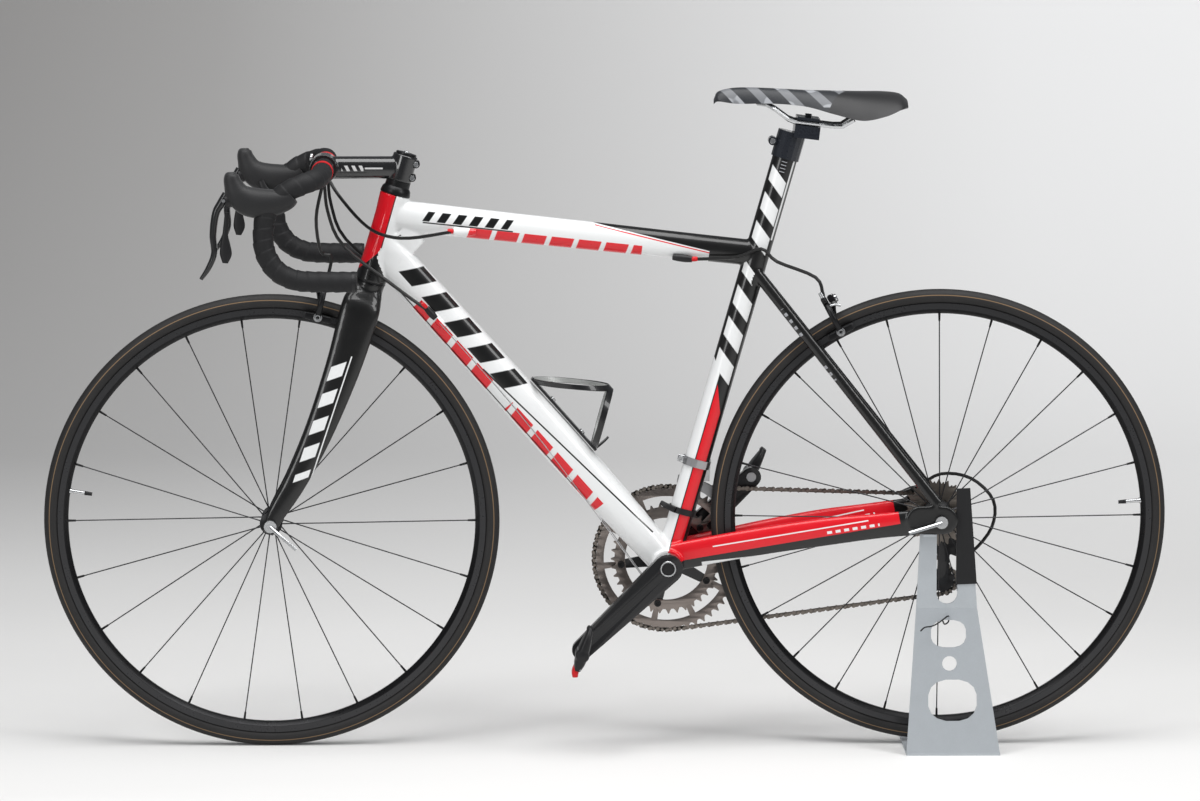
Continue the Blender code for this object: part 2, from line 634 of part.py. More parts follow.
def blade(side):
    """(height, ahead, across, half depth, half width) from crown to tip."""
    tip_centre = (FRONT_HUB_HALF + GAP + FORK_TIP_OUTER) / 2
    tip_half = (FORK_TIP_OUTER - FRONT_HUB_HALF - GAP) / 2
    shape = [(FORK_LENGTH - 0.008, 0.000, 0.009, 0.0215, 0.008),
             (FORK_LENGTH - 0.027, 0.002, 0.019, 0.0265, 0.0092),
             (FORK_LENGTH - 0.050, 0.003, 0.0262, 0.029, 0.0102),
             (FORK_LENGTH * 0.66, 0.004, 0.034, 0.026, 0.0092),
             (FORK_LENGTH * 0.40, 0.012, 0.0425, 0.0210, 0.0078),
             (FORK_LENGTH * 0.19, FORK_RAKE * 0.58, 0.0495, 0.0165, 0.0062),
             (FORK_LENGTH * 0.05, FORK_RAKE * 0.90, tip_centre, 0.0128, tip_half),
             (-0.012, FORK_RAKE + 0.002, tip_centre, 0.0100, tip_half)]
    stations = [(at_steerer(h, ahead, side * y), depth, width) for h, ahead, y, depth, width in shape]
    return sweep("fork_blade", stations, None, 12, 2.2, cutter=True)


fork = turned("fork", [(0, STEERER_TOP), (STEERER_RADIUS, STEERER_TOP),
                       (STEERER_RADIUS, HEAD_BOTTOM - GAP), (HEAD_TUBE_RADIUS, HEAD_BOTTOM - GAP),
                       (HEAD_TUBE_RADIUS - 0.001, HEAD_BOTTOM - CROWN_HEIGHT),
                       (0, HEAD_BOTTOM - CROWN_HEIGHT)],
              STEER_BASE, STEER_UP, BLACK_CARBON, HEAD_STEPS)
join(fork, blade(-1), blade(1))
bore(fork, FRONT_AXLE, SKEWER_RADIUS + GAP, 0.08)

headset_spacer = turned("headset_spacer",
                        [(HEAD_TUBE_RADIUS, HEAD_TOP + GAP), (HEAD_TUBE_RADIUS - 0.001, HEAD_TOP + 0.008),
                         (0.0180, STEM_BOTTOM - GAP), (STEERER_RADIUS + GAP, STEM_BOTTOM - GAP),
                         (STEERER_RADIUS + GAP, HEAD_TOP + GAP)],
                        STEER_BASE, STEER_UP, BLACK_ALLOY, HEAD_STEPS, hollow=True)

STEM_BODY_RADIUS = 0.0165
FACEPLATE_RADIUS = 0.0212
FACEPLATE_HALF = 0.023

stem = turned("stem", [(0, STEM_TOP), (0.0185, STEM_TOP), (0.0185, STEM_BOTTOM), (0, STEM_BOTTOM)],
              STEER_BASE, STEER_UP, BLACK_ALLOY, HEAD_STEPS)
stem_body = sweep("stem_body", [(STEM_CENTRE, STEM_BODY_RADIUS, 0.0165),
                                (BAR_CENTRE + 0.012 * BACK, STEM_BODY_RADIUS, 0.0155)],
                  None, 12, 2.4, cutter=True)
bar_clamp = rod("stem_bar_clamp", BAR_CENTRE - FACEPLATE_HALF * ALONG_Y,
                BAR_CENTRE + FACEPLATE_HALF * ALONG_Y, FACEPLATE_RADIUS, None, 20, cutter=True)
steerer_cutter = rod("steerer_cutter", at_steerer(STEM_BOTTOM - 0.01), at_steerer(STEERER_TOP + GAP),
                     STEERER_RADIUS + GAP, None, HEAD_STEPS, cutter=True)
below_stem = rod("below_stem_cutter", at_steerer(STEM_BOTTOM - 0.02), at_steerer(STEM_BOTTOM), 0.03, None,
                 HEAD_STEPS, cutter=True)
CLAMP_SPLIT = 0.0012          # half the gap between the stem and its faceplate
front_half = block("stem_front_cutter", BAR_CENTRE - Vector((0.04, 0.04, 0.04)),
                   BAR_CENTRE + Vector((CLAMP_SPLIT, 0.04, 0.04)), None, cutter=True)
join(stem, stem_body, bar_clamp)
cut(stem, steerer_cutter, below_stem, front_half)
bore(stem, BAR_CENTRE, BAR_CLAMP_RADIUS + GAP, 0.04, sides=20)

faceplate = rod("stem_faceplate", BAR_CENTRE - FACEPLATE_HALF * ALONG_Y,
                BAR_CENTRE + FACEPLATE_HALF * ALONG_Y, FACEPLATE_RADIUS, BLACK_ALLOY, 20)
back_half = block("faceplate_back_cutter", BAR_CENTRE - Vector((CLAMP_SPLIT, 0.04, 0.04)),
                  BAR_CENTRE + Vector((0.04, 0.04, 0.04)), None, cutter=True)
cut(faceplate, back_half)
bore(faceplate, BAR_CENTRE, BAR_CLAMP_RADIUS + GAP, 0.04, sides=20)


def bar_point(side, across, reach, drop):
    """A point of the handlebar: shares of its half width, reach and drop."""
    return BAR_CENTRE + Vector((-reach * BAR_REACH, side * across * BAR_HALF_WIDTH, -drop * BAR_DROP))


# (share of half width, of reach, of drop, radius) from the middle outwards
BAR_SHAPE = [(0.00, 0.00, 0.00, BAR_CLAMP_RADIUS), (0.14, 0.00, 0.00, BAR_CLAMP_RADIUS),
             (0.21, 0.00, 0.00, BAR_RADIUS), (0.40, 0.00, 0.00, BAR_RADIUS),
             (0.402, 0.00, 0.00, TAPE_RADIUS), (0.74, 0.01, 0.00, TAPE_RADIUS),
             (0.88, 0.07, 0.01, TAPE_RADIUS), (0.97, 0.24, 0.035, TAPE_RADIUS),
             (1.00, 0.43, 0.075, TAPE_RADIUS), (1.00, 0.45, 0.08, BAR_RADIUS),
             (1.00, 0.64, 0.14, BAR_RADIUS), (1.00, 0.84, 0.24, BAR_RADIUS),
             (1.00, 0.96, 0.36, BAR_RADIUS), (1.00, 0.99, 0.46, BAR_RADIUS),
             (1.00, 0.995, 0.475, TAPE_RADIUS), (1.00, 1.00, 0.61, TAPE_RADIUS),
             (1.00, 0.94, 0.75, TAPE_RADIUS), (1.00, 0.77, 0.885, TAPE_RADIUS),
             (1.00, 0.52, 0.965, TAPE_RADIUS), (1.00, 0.20, 0.995, TAPE_RADIUS)]


def bar_half(side):
    half = [(bar_point(side, across, reach, drop), radius, radius)
            for across, reach, drop, radius in BAR_SHAPE]
    end = bar_point(side, 1.0, 0.20, 1.0) + Vector((BAR_END_LENGTH - 0.2 * BAR_REACH, 0, 0))
    return half + [(end, TAPE_RADIUS, TAPE_RADIUS)]


handlebar = sweep("handlebar", list(reversed(bar_half(-1))) + bar_half(1)[1:], GRIP_RUBBER, 10)

# rubber hood over each brake lever's body, from the bar up to its knob: (reach, drop) from the bar's
# centre in metres, half depth and half width
HOOD_SHAPE = [(0.0505, 0.0325, 0.0190, 0.0165), (0.075, 0.0340, 0.0225, 0.0180),
              (0.099, 0.0315, 0.0215, 0.0180), (0.1165, 0.0195, 0.0185, 0.0172),
              (0.1240, 0.0040, 0.0140, 0.0150), (0.1255, -0.0080, 0.0085, 0.0095)]
LEVER_SHAPE = [(0.1358, 0.0265, 0.0050, 0.0080), (0.1475, 0.0480, 0.0052, 0.0085),
               (0.1515, 0.0780, 0.0050, 0.0085), (0.1500, 0.1040, 0.0045, 0.0080),
               (0.1580, 0.1250, 0.0040, 0.0070), (0.1690, 0.1420, 0.0030, 0.0055)]
PADDLE_SHAPE = [(0.1310, 0.0460, 0.0035, 0.0030), (0.1340, 0.0760, 0.0040, 0.0030),
                (0.1340, 0.0920, 0.0070, 0.0030), (0.1335, 0.1060, 0.0085, 0.0030),
                (0.1345, 0.1190, 0.0045, 0.0030)]
LEVER_PIVOT = (0.1360, 0.0290)
PADDLE_PIVOT = (0.1310, 0.0450)


def at_bar_end(side, reach, drop):
    """A point in the plane of one side's drop, from the bar's centre."""
    return BAR_CENTRE + Vector((-reach, side * BAR_HALF_WIDTH, -drop))


def controls(side, word):
    def along(shape):
        return [(at_bar_end(side, reach, drop), depth, width) for reach, drop, depth, width in shape]

    hood = sweep(word + "_hood", along(HOOD_SHAPE), GRIP_RUBBER, 10, 2.2)
    covered = [station for station in bar_half(side) if station[1] == BAR_RADIUS][2:]
    first = covered[0][0] + (covered[0][0] - covered[1][0]).normalized() * 0.02
    last = covered[-1][0] + (covered[-1][0] - covered[-2][0]).normalized() * 0.02
    bar_run = [(first, BAR_RADIUS, BAR_RADIUS)] + covered + [(last, BAR_RADIUS, BAR_RADIUS)]
    cut(hood, sweep(word + "_bar_cutter", bar_run, None, 10, cutter=True, grow=2 * GAP))
    lever = sweep(word + "_brake_lever", along(LEVER_SHAPE), BLACK_CARBON, 8, 2.2)
    paddle = sweep(word + "_shift_paddle", along(PADDLE_SHAPE), BLACK_ALLOY, 8, 2.4)
    return hood, lever, paddle


left_hood, left_lever, left_paddle = controls(-1, "left")
right_hood, right_lever, right_paddle = controls(1, "right")

# ---------------------------------------------------------------- brakes
CALIPER_SHARE = 0.985         # pad centre, as a share of the rim's outer radius
PAD_GAP = 0.002
ARM_HALF = 0.0045
CALIPER_REACH = 0.046         # pad centre up to the centre bolt


def caliper(name, hub, angle, ahead_sign, colour):
    """Two sidepull arms on one centre bolt, in planes one behind the other, each with its pad."""
    outward = Vector((math.cos(angle), 0, math.sin(angle)))
    ahead = ahead_sign * Vector((-math.sin(angle), 0, math.cos(angle)))
    pad_radius = RIM_OUTER * CALIPER_SHARE
    bolt = hub + (pad_radius + CALIPER_REACH) * outward
    arms = []
    for side, word, plane in ((-1, "left", 0.0), (1, "right", 2 * ARM_HALF + 2 * GAP)):
        pad_y = RIM_HALF_WIDTH + PAD_GAP + 0.004

        def place(y, up, shift=0.0):
            return bolt + side * y * ALONG_Y + up * outward + (plane * (1 - shift)) * ahead

        knots = [place(-0.012, 0.004), place(0.004, 0.001), place(0.022, -0.006),
                 place(0.030, -0.024, 0.7), place(pad_y + 0.006, -CALIPER_REACH, 1)]
        widths = (0.0055, 0.0065, 0.0060, 0.0055, 0.0060)
        stations = []
        for point, width in zip(knots, widths):
            stations.append((point, width, ARM_HALF))
        arm = caliper_arm(f"{name}_arm_{word}", stations, ahead, colour)
        pad_at = place(pad_y, -CALIPER_REACH, 1)
        tangent = Vector((-math.sin(angle), 0, math.cos(angle)))
        pad = sweep(f"{name}_pad_{word}", [(pad_at - 0.021 * tangent, 0.0055, 0.0038),
                                           (pad_at + 0.021 * tangent, 0.0055, 0.0038)],
                    None, power=None, cutter=True)
        join(arm, pad)
        arms.append(arm)
    stub = rod(name + "_bolt", bolt - ARM_HALF * ahead * 0.5, bolt - 0.013 * ahead, 0.003, None, 8,
               cutter=True)
    join(arms[0], stub)
    return bolt, ahead, arms


def caliper_arm(name, stations, thick, finish):
    """A flat arm whose thickness lies along one given direction."""
    path = [station[0] for station in stations]
    rings = []
    for i, (point, width, half) in enumerate(stations):
        tangent = path[min(i + 1, len(path) - 1)] - path[max(i - 1, 0)]
        tangent = (tangent - tangent.dot(thick) * thick).normalized()
        across = thick.cross(tangent)
        corners = ((1, 0.6), (0.6, 1), (-0.6, 1), (-1, 0.6), (-1, -0.6), (-0.6, -1), (0.6, -1), (1, -0.6))
        rings.append([point + width * a * across + half * b * thick for a, b in corners])
    return loft(name, rings, finish)


front_bolt, front_ahead, front_arms = caliper("front_brake", FRONT_AXLE, math.radians(77), 1, BLACK_ALLOY)
rear_bolt, rear_ahead, rear_arms = caliper("rear_brake", REAR_AXLE, math.radians(118), -1, BLACK_ALLOY)

# ---------------------------------------------------------------- cranks, rings, pedals
BIG_RING_RADIUS = pitch_radius(BIG_RING_TEETH) - TOOTH_ROOT
SMALL_RING_RADIUS = pitch_radius(SMALL_RING_TEETH) - TOOTH_ROOT
RING_INNER = BOLT_CIRCLE - 0.0065
SPIDER_HALF = SMALL_RING_Y + RING_HALF_THICKNESS + GAP, BIG_RING_Y - RING_HALF_THICKNESS - GAP
CRANK_ROOT = (0.046, 0.060)   # y range at the bottom bracket
CRANK_END = (0.063, 0.077)    # y range at the pedal
CRANK_HOLE = 0.0072
ARM_RADII = (0.0215, 0.0145)


def chainring(name, radius, y):
    """The toothed rings' solid discs, up to their tooth roots."""
    low, high = -RING_HALF_THICKNESS, RING_HALF_THICKNESS
    return turned(name, [(radius, high), (radius, low), (RING_INNER, low), (RING_INNER, high)],
                  BRACKET + y * ALONG_Y, ALONG_Y, BRONZE_ALLOY, 40, hollow=True)


big_ring = chainring("big_chainring", BIG_RING_RADIUS, BIG_RING_Y)
small_ring = chainring("small_chainring", SMALL_RING_RADIUS, SMALL_RING_Y)

left_crank = link_plate("left_crank", BRACKET, LEFT_PEDAL, ARM_RADII,
                        (-CRANK_ROOT[1] - 0.004, -CRANK_ROOT[0]), (-CRANK_END[1], -CRANK_END[0]),
                        BLACK_CARBON, sides=10)
bore(left_crank, LEFT_PEDAL - CRANK_END[1] * ALONG_Y, CRANK_HOLE + GAP, 0.03)
bore(left_crank, BRACKET - CRANK_ROOT[1] * ALONG_Y, CRANK_AXLE_RADIUS + GAP, 0.03, sides=20)

right_crank = link_plate("right_crank", BRACKET, RIGHT_PEDAL, ARM_RADII, (CRANK_ROOT[0] + 0.0015, 0.064),
                         CRANK_END, BLACK_CARBON, sides=10)
crank_axle = rod("crank_axle", BRACKET - (CRANK_ROOT[1] + 0.002) * ALONG_Y,
                 BRACKET + (CRANK_ROOT[0] + 0.004) * ALONG_Y, CRANK_AXLE_RADIUS, None, 20, cutter=True)
spider_boss = rod("spider_boss", BRACKET + SPIDER_HALF[0] * ALONG_Y, BRACKET + 0.055 * ALONG_Y,
                  0.022, None, 20, cutter=True)
join(right_crank, crank_axle, spider_boss)
SPIDER_ARMS = 5
for arm in range(SPIDER_ARMS):
    heading = CRANK_ANGLE + 2 * math.pi * arm / SPIDER_ARMS
    direction = Vector((math.cos(heading), 0, math.sin(heading)))
    join(right_crank, link_plate("spider_arm", BRACKET + 0.012 * direction,
                                 BRACKET + BOLT_CIRCLE * direction, (0.010, 0.0062),
                                 SPIDER_HALF, SPIDER_HALF, None, cutter=True, sides=4))
bore(right_crank, RIGHT_PEDAL + CRANK_END[1] * ALONG_Y, CRANK_HOLE + GAP, 0.03)

PEDAL_INNER = 0.084
PEDAL_OUTER = 0.136


def pedal(name, centre, side, tilt):
    """Clipless pedal: a spindle and a wedge-shaped platform whose long end points along the tilt."""
    ahead = Vector((math.cos(tilt), 0, math.sin(tilt)))
    middle = side * (PEDAL_INNER + PEDAL_OUTER) / 2
    half = (PEDAL_OUTER - PEDAL_INNER) / 2
    stations = []
    for reach, depth in ((-0.034, 0.0055), (-0.010, 0.0115), (0.012, 0.0110), (0.036, 0.0085),
                         (0.044, 0.0050)):
        stations.append((centre + reach * ahead + middle * ALONG_Y, depth, half * (1 - abs(reach) * 4)))
    body = sweep(name, stations, BLACK_ALLOY, 10, 3.0)
    spindle = rod(name + "_spindle", centre + side * (CRANK_END[0] + 0.001) * ALONG_Y,
                  centre + side * (PEDAL_INNER + 0.02) * ALONG_Y, CRANK_HOLE, None, 12, cutter=True)
    return join(body, spindle)


left_pedal = pedal("left_pedal", LEFT_PEDAL, -1, math.radians(72))
right_pedal = pedal("right_pedal", RIGHT_PEDAL, 1, math.radians(60))

# ---------------------------------------------------------------- cassette, derailleurs, chain
CASSETTE_INNER_Y = 0.0235
CASSETTE_BIG_ROOT = 0.0385
CASSETTE_SMALL_ROOT = 0.0205
COG_RADIUS = pitch_radius(COG_TEETH) - TOOTH_ROOT

cassette = turned("cassette", [(0.0135, HUB_SHELL_END_Y + GAP), (CASSETTE_BIG_ROOT, CASSETTE_INNER_Y),
                               (CASSETTE_BIG_ROOT, CASSETTE_INNER_Y + 0.002),
                               (CASSETTE_SMALL_ROOT, COG_Y - 0.0032), (0.0165, COG_Y - 0.0032),
                               (0.0165, COG_Y - 0.0010), (COG_RADIUS, COG_Y - 0.0010),
                               (COG_RADIUS, COG_Y + 0.0010), (0.0135, COG_Y + 0.0012),
                               (0.0095, COG_Y + 0.0030), (REAR_AXLE_RADIUS + GAP, COG_Y - 0.0010),
                               (REAR_AXLE_RADIUS + GAP, HUB_SHELL_END_Y + GAP)],
                  REAR_AXLE, ALONG_Y, SILVER_ALLOY, 24, hollow=True)
bore(cassette, REAR_AXLE + (COG_Y + 0.002) * ALONG_Y, 0.0088, 0.003, sides=16)


def pulley(name, centre):
    low, high, radius = -0.002, 0.002, pitch_radius(PULLEY_TEETH) - TOOTH_ROOT
    return turned(name, [(radius, high), (radius, low), (0.0033, low), (0.0033, high)],
                  centre, ALONG_Y, BLACK_ALLOY, 20, hollow=True)


guide_pulley = pulley("guide_pulley", GUIDE_PULLEY)
tension_pulley = pulley("tension_pulley", TENSION_PULLEY)

CAGE_INNER_Y = (COG_Y - 0.0062, COG_Y - 0.0047)
CAGE_OUTER_Y = (COG_Y + 0.0047, COG_Y + 0.0062)
rear_cage = link_plate("rear_derailleur_cage", GUIDE_PULLEY, TENSION_PULLEY, (0.0085, 0.0080),
                       CAGE_OUTER_Y, CAGE_OUTER_Y, BLACK_CARBON)
inner_cage = link_plate("inner_cage_plate", GUIDE_PULLEY, TENSION_PULLEY, (0.0085, 0.0080),
                        CAGE_INNER_Y, CAGE_INNER_Y, None, cutter=True)
pins = []
for centre in (GUIDE_PULLEY, TENSION_PULLEY):
    middle = Vector((centre.x, 0, centre.z))
    pins.append(rod("pulley_pin", middle + (CAGE_INNER_Y[0] + 0.0005) * ALONG_Y,
                    middle + (CAGE_OUTER_Y[1] - 0.0005) * ALONG_Y, 0.0030, None, 10, cutter=True))
join(rear_cage, inner_cage, *pins)

MECH_Y = (REAR_DROPOUT_OUTER + GAP, REAR_DROPOUT_OUTER + 0.013)
knuckle_low = (CAGE_OUTER_Y[1] + GAP, CAGE_OUTER_Y[1] + 0.014)
guide_middle = Vector((GUIDE_PULLEY.x, 0, GUIDE_PULLEY.z))
rear_mech = link_plate("rear_derailleur_body", REAR_AXLE + HANGER_BOLT,
                       guide_middle + Vector((0.022, 0, -0.006)),
                       (0.0095, 0.0105), MECH_Y, (MECH_Y[0], MECH_Y[1]), BLACK_CARBON)
mech_knuckle = link_plate("mech_knuckle", guide_middle, guide_middle + Vector((0.022, 0, -0.006)),
                          (0.0085, 0.0095), knuckle_low, (knuckle_low[0], MECH_Y[1]), None, cutter=True)
join(rear_mech, mech_knuckle)
hanger_cutter = link_plate("hanger_cutter", REAR_AXLE + DROPOUT_BACK, REAR_AXLE + HANGER_BOLT,
                           (0.0105, 0.0085), (REAR_HUB_HALF, REAR_DROPOUT_OUTER + GAP),
                           (REAR_HUB_HALF, REAR_DROPOUT_OUTER + GAP), None, cutter=True)
cut(rear_mech, hanger_cutter)

FRONT_MECH_HEIGHT = 0.155
front_mech = turned("front_derailleur_body",
                    [(SEAT_TUBE_RADIUS + 0.0026, 0.006), (SEAT_TUBE_RADIUS + 0.0026, -0.006),
                     (SEAT_TUBE_RADIUS + 2 * GAP, -0.006), (SEAT_TUBE_RADIUS + 2 * GAP, 0.006)],
                    at_seat(FRONT_MECH_HEIGHT), SEAT_UP, SILVER_ALLOY, 16, hollow=True)
mech_block = sweep("front_mech_block", [(at_seat(FRONT_MECH_HEIGHT + 0.004, 0.012, 0.0205), 0.009, 0.006),
                                        (at_seat(FRONT_MECH_HEIGHT - 0.026, 0.020, 0.0255), 0.008, 0.005)],
                   None, power=None, cutter=True)
cut(mech_block, sweep("front_mech_clearance", seat_tube_stations(), None, 16, cutter=True, grow=2 * GAP))
join(front_mech, mech_block)

FD_PLATE_HALF = 0.0008
FD_INNER_Y = 0.0345 + 0.0045
FD_OUTER_Y = BIG_RING_Y + 0.0062


def arc_plate(name, radius, depth, from_angle, to_angle, y, half, finish, cutter=False):
    """A curved plate that follows the big ring's rim."""
    steps = 5
    stations = []
    for i in range(steps + 1):
        angle = from_angle + (to_angle - from_angle) * i / steps
        point = BRACKET + Vector((radius * math.cos(angle), y, radius * math.sin(angle)))
        stations.append((point, depth * (1 - 0.35 * i / steps), half))
    return sweep(name, stations, finish, power=None, cutter=cutter)


FD_RADIUS = pitch_radius(BIG_RING_TEETH) + 0.012
front_cage = arc_plate("front_derailleur_cage", FD_RADIUS, 0.0085, math.radians(46), math.radians(82),
                       FD_OUTER_Y, FD_PLATE_HALF, SILVER_ALLOY)
fd_inner = arc_plate("front_cage_inner", FD_RADIUS, 0.0085, math.radians(46), math.radians(82),
                     FD_INNER_Y, FD_PLATE_HALF, None, cutter=True)
bridge_heading = math.radians(52)
bridge_point = BRACKET + (FD_RADIUS + 0.006) * Vector((math.cos(bridge_heading), 0, math.sin(bridge_heading)))
fd_bridge = rod("front_cage_bridge", bridge_point + (FD_INNER_Y - FD_PLATE_HALF / 2) * ALONG_Y,
                bridge_point + (FD_OUTER_Y + FD_PLATE_HALF / 2) * ALONG_Y, 0.0022, None, 8, cutter=True)
join(front_cage, fd_inner, fd_bridge)


def chain_route():
    """Pitch line round ring, cog and pulleys: tangents and arcs, as (x, z, normal x, normal z)."""
    wheels = [(BRACKET, pitch_radius(BIG_RING_TEETH), 1), (REAR_AXLE, pitch_radius(COG_TEETH), 1),
              (GUIDE_PULLEY, pitch_radius(PULLEY_TEETH), -1),
              (TENSION_PULLEY, pitch_radius(PULLEY_TEETH), 1)]
    normals = []
    for (a, ra, sa), (b, rb, sb) in zip(wheels, wheels[1:] + wheels[:1]):
        away = (b - a).xz
        normals.append(math.atan2(away.y, away.x) + math.acos((sa * ra - sb * rb) / away.length))
    route = []
    for i, (centre, radius, sense) in enumerate(wheels):
        enter, leave = normals[i - 1], normals[i]
        turn = (enter - leave) % (2 * math.pi) if sense > 0 else -((leave - enter) % (2 * math.pi))
        steps = max(4, round(abs(turn) / math.radians(12)))
        reach = sense * radius / math.cos(turn / steps / 2)   # flats, not corners, lie on the pitch circle
        for k in range(steps + 1):
            angle = enter - turn * k / steps
            route.append((centre.x + reach * math.cos(angle), centre.z + reach * math.sin(angle),
                          math.cos(angle), math.sin(angle)))
    return route


CHAIN_STRAIGHTENS = REAR_AXLE.x - 0.045    # behind this the chain runs in the small cog's plane
RING_BACK = BRACKET.x + 0.03


def chain_y(x):
    """The free runs slant from the big ring's plane to the small cog's."""
    share = (x - RING_BACK) / (CHAIN_STRAIGHTENS - RING_BACK)
    return BIG_RING_Y + (COG_Y - BIG_RING_Y) * min(1.0, max(0.0, share))


def chain_rings():
    route = chain_route()
    filled = []
    for here, there in zip(route, route[1:] + route[:1]):
        filled.append(here)
        span = math.hypot(there[0] - here[0], there[1] - here[1])
        extra = 6 if span > 0.2 else 0
        for k in range(1, extra):
            filled.append(tuple(a + (b - a) * k / extra for a, b in zip(here, there)))
    rings = []
    for x, z, nx, nz in filled:
        ring = []
        for out, across in ((1, 1), (1, -1), (-1, -1), (-1, 1)):
            ring.append(Vector((x + out * CHAIN_HALF_HEIGHT * nx, chain_y(x) + across * CHAIN_HALF_WIDTH,
                                z + out * CHAIN_HALF_HEIGHT * nz)))
        rings.append(ring)
    return rings


chain = loft("chain", chain_rings(), CHAIN_STEEL, closed=True)

# ---------------------------------------------------------------- bottle cage
BOTTLE_RADIUS = 0.0370
CAGE_AT = 0.53                # share of the down tube, from its top end
down_top, down_end = at_steerer(HEAD_TOP - DOWN_TUBE_DROP), BRACKET
DOWN_ALONG = (down_end - down_top).normalized()
DOWN_OUT = Vector((-DOWN_ALONG.z, 0, DOWN_ALONG.x))
cage_at = down_top.lerp(down_end, CAGE_AT) + (0.030 + GAP) * DOWN_OUT
bottle_axis_at = cage_at + (0.0045 + BOTTLE_RADIUS) * DOWN_OUT


UPPER_BAND_MIDDLE, UPPER_BAND_LEAN = 0.0062, 0.0405
LOWER_BAND_MIDDLE, LOWER_BAND_LEAN = 0.0712, 0.0245
LOWER_BAND_LIFT = 0.0002
BAND_HALF = 0.0055
BAND_WALL = 0.0025
BAND_STEPS = 24


def cage_band(name, middle, lean, lift=0.0):
    """A band round the bottle; its outer side leans down the tube, or up it if lean is negative."""
    section = ((lift, -BAND_HALF), (lift, BAND_HALF),
               (lift + BAND_WALL, BAND_HALF), (lift + BAND_WALL, -BAND_HALF))
    rings = []
    for i in range(BAND_STEPS):
        angle = 2 * math.pi * i / BAND_STEPS
        radial = math.cos(angle) * DOWN_OUT + math.sin(angle) * ALONG_Y
        centre = bottle_axis_at + (middle + lean * math.cos(angle)) * DOWN_ALONG
        rings.append([centre + (BOTTLE_RADIUS + out) * radial + along * DOWN_ALONG for out, along in section])
    return loft(name, rings, None, closed=True, cutter=True)


SPINE_TOP, SPINE_END = -0.040, 0.1015
bottle_cage = sweep("bottle_cage", [(cage_at + SPINE_TOP * DOWN_ALONG + 0.0025 * DOWN_OUT, 0.0022, 0.010),
                                    (cage_at + SPINE_END * DOWN_ALONG + 0.0025 * DOWN_OUT, 0.0022, 0.010)],
                    BLACK_CARBON, power=None)
CAGE_FLOOR, CAGE_LIP = 0.1000, 0.029
cage_floor = sweep("cage_floor", [(cage_at + CAGE_FLOOR * DOWN_ALONG + 0.002 * DOWN_OUT, 0.0014, 0.009),
                                  (cage_at + CAGE_FLOOR * DOWN_ALONG + CAGE_LIP * DOWN_OUT, 0.0014, 0.008)],
                   None, power=None, cutter=True)
join(bottle_cage, cage_band("cage_upper_band", UPPER_BAND_MIDDLE, UPPER_BAND_LEAN),
     cage_band("cage_lower_band", LOWER_BAND_MIDDLE, -LOWER_BAND_LEAN, LOWER_BAND_LIFT),
     cage_floor)

# ---------------------------------------------------------------- seat mast topper, rails and saddle
TOPPER_BOTTOM = MAST_LENGTH - 0.026
TOPPER_TOP = MAST_LENGTH + 0.014
CAP_CLEARANCE = 0.012         # room above the mast for the height adjustment
RAIL_RADIUS = 0.0035
RAIL_Y = 0.022
CLAMP_OFFSET = 0.026          # the clamp sits behind the mast's axis
rail_along = Vector((0.993, 0, -0.118)).normalized()
rail_up = Vector((0.118, 0, 0.993)).normalized()
clamp_at = at_seat(MAST_LENGTH) + Vector((CLAMP_OFFSET, 0, 0.0275))

topper = turned("seat_mast_topper",
                [(0, TOPPER_TOP), (0.0208, TOPPER_TOP), (0.0208, TOPPER_BOTTOM), (0, TOPPER_BOTTOM)],
                BRACKET, SEAT_UP, BLACK_ALLOY, 16)
topper_bore = sweep("topper_bore", [(at_seat(TOPPER_BOTTOM - 0.01), SEAT_TUBE_RADIUS, SEAT_TUBE_RADIUS),
                                    (at_seat(MAST_LENGTH + CAP_CLEARANCE), SEAT_TUBE_RADIUS, SEAT_TUBE_RADIUS)],
                    None, 16, cutter=True, grow=GAP)
bolt_ear = rod("topper_ear", at_seat(MAST_LENGTH - 0.006, -0.0245, -0.011),
               at_seat(MAST_LENGTH - 0.006, -0.0245, 0.011), 0.0065, None, 12, cutter=True)


def clamp_slab(name, low, high, front, back, half, finish=None):
    """A slab of the rail clamp, between two heights above the rails' plane."""
    middle = (low + high) / 2 * rail_up
    return sweep(name, [(clamp_at + front * rail_along + middle, (high - low) / 2, half),
                        (clamp_at + back * rail_along + middle, (high - low) / 2, half)],
                 finish, power=None, cutter=True)


cradle = clamp_slab("clamp_cradle", -0.0225, -RAIL_RADIUS - GAP, -0.019, 0.018, 0.027)
top_plate = clamp_slab("clamp_plate", RAIL_RADIUS + GAP, RAIL_RADIUS + 0.0045, -0.017, 0.016, 0.027)
clamp_core = clamp_slab("clamp_core", -0.006, RAIL_RADIUS + 0.002, -0.008, 0.008, 0.015)
clamp_bolt = rod("clamp_bolt", clamp_at - 0.01 * rail_up, clamp_at + 0.0125 * rail_up, 0.005, None, 10,
                 cutter=True)
join(topper, bolt_ear, cradle, clamp_core, top_plate, clamp_bolt)
cut(topper, topper_bore)

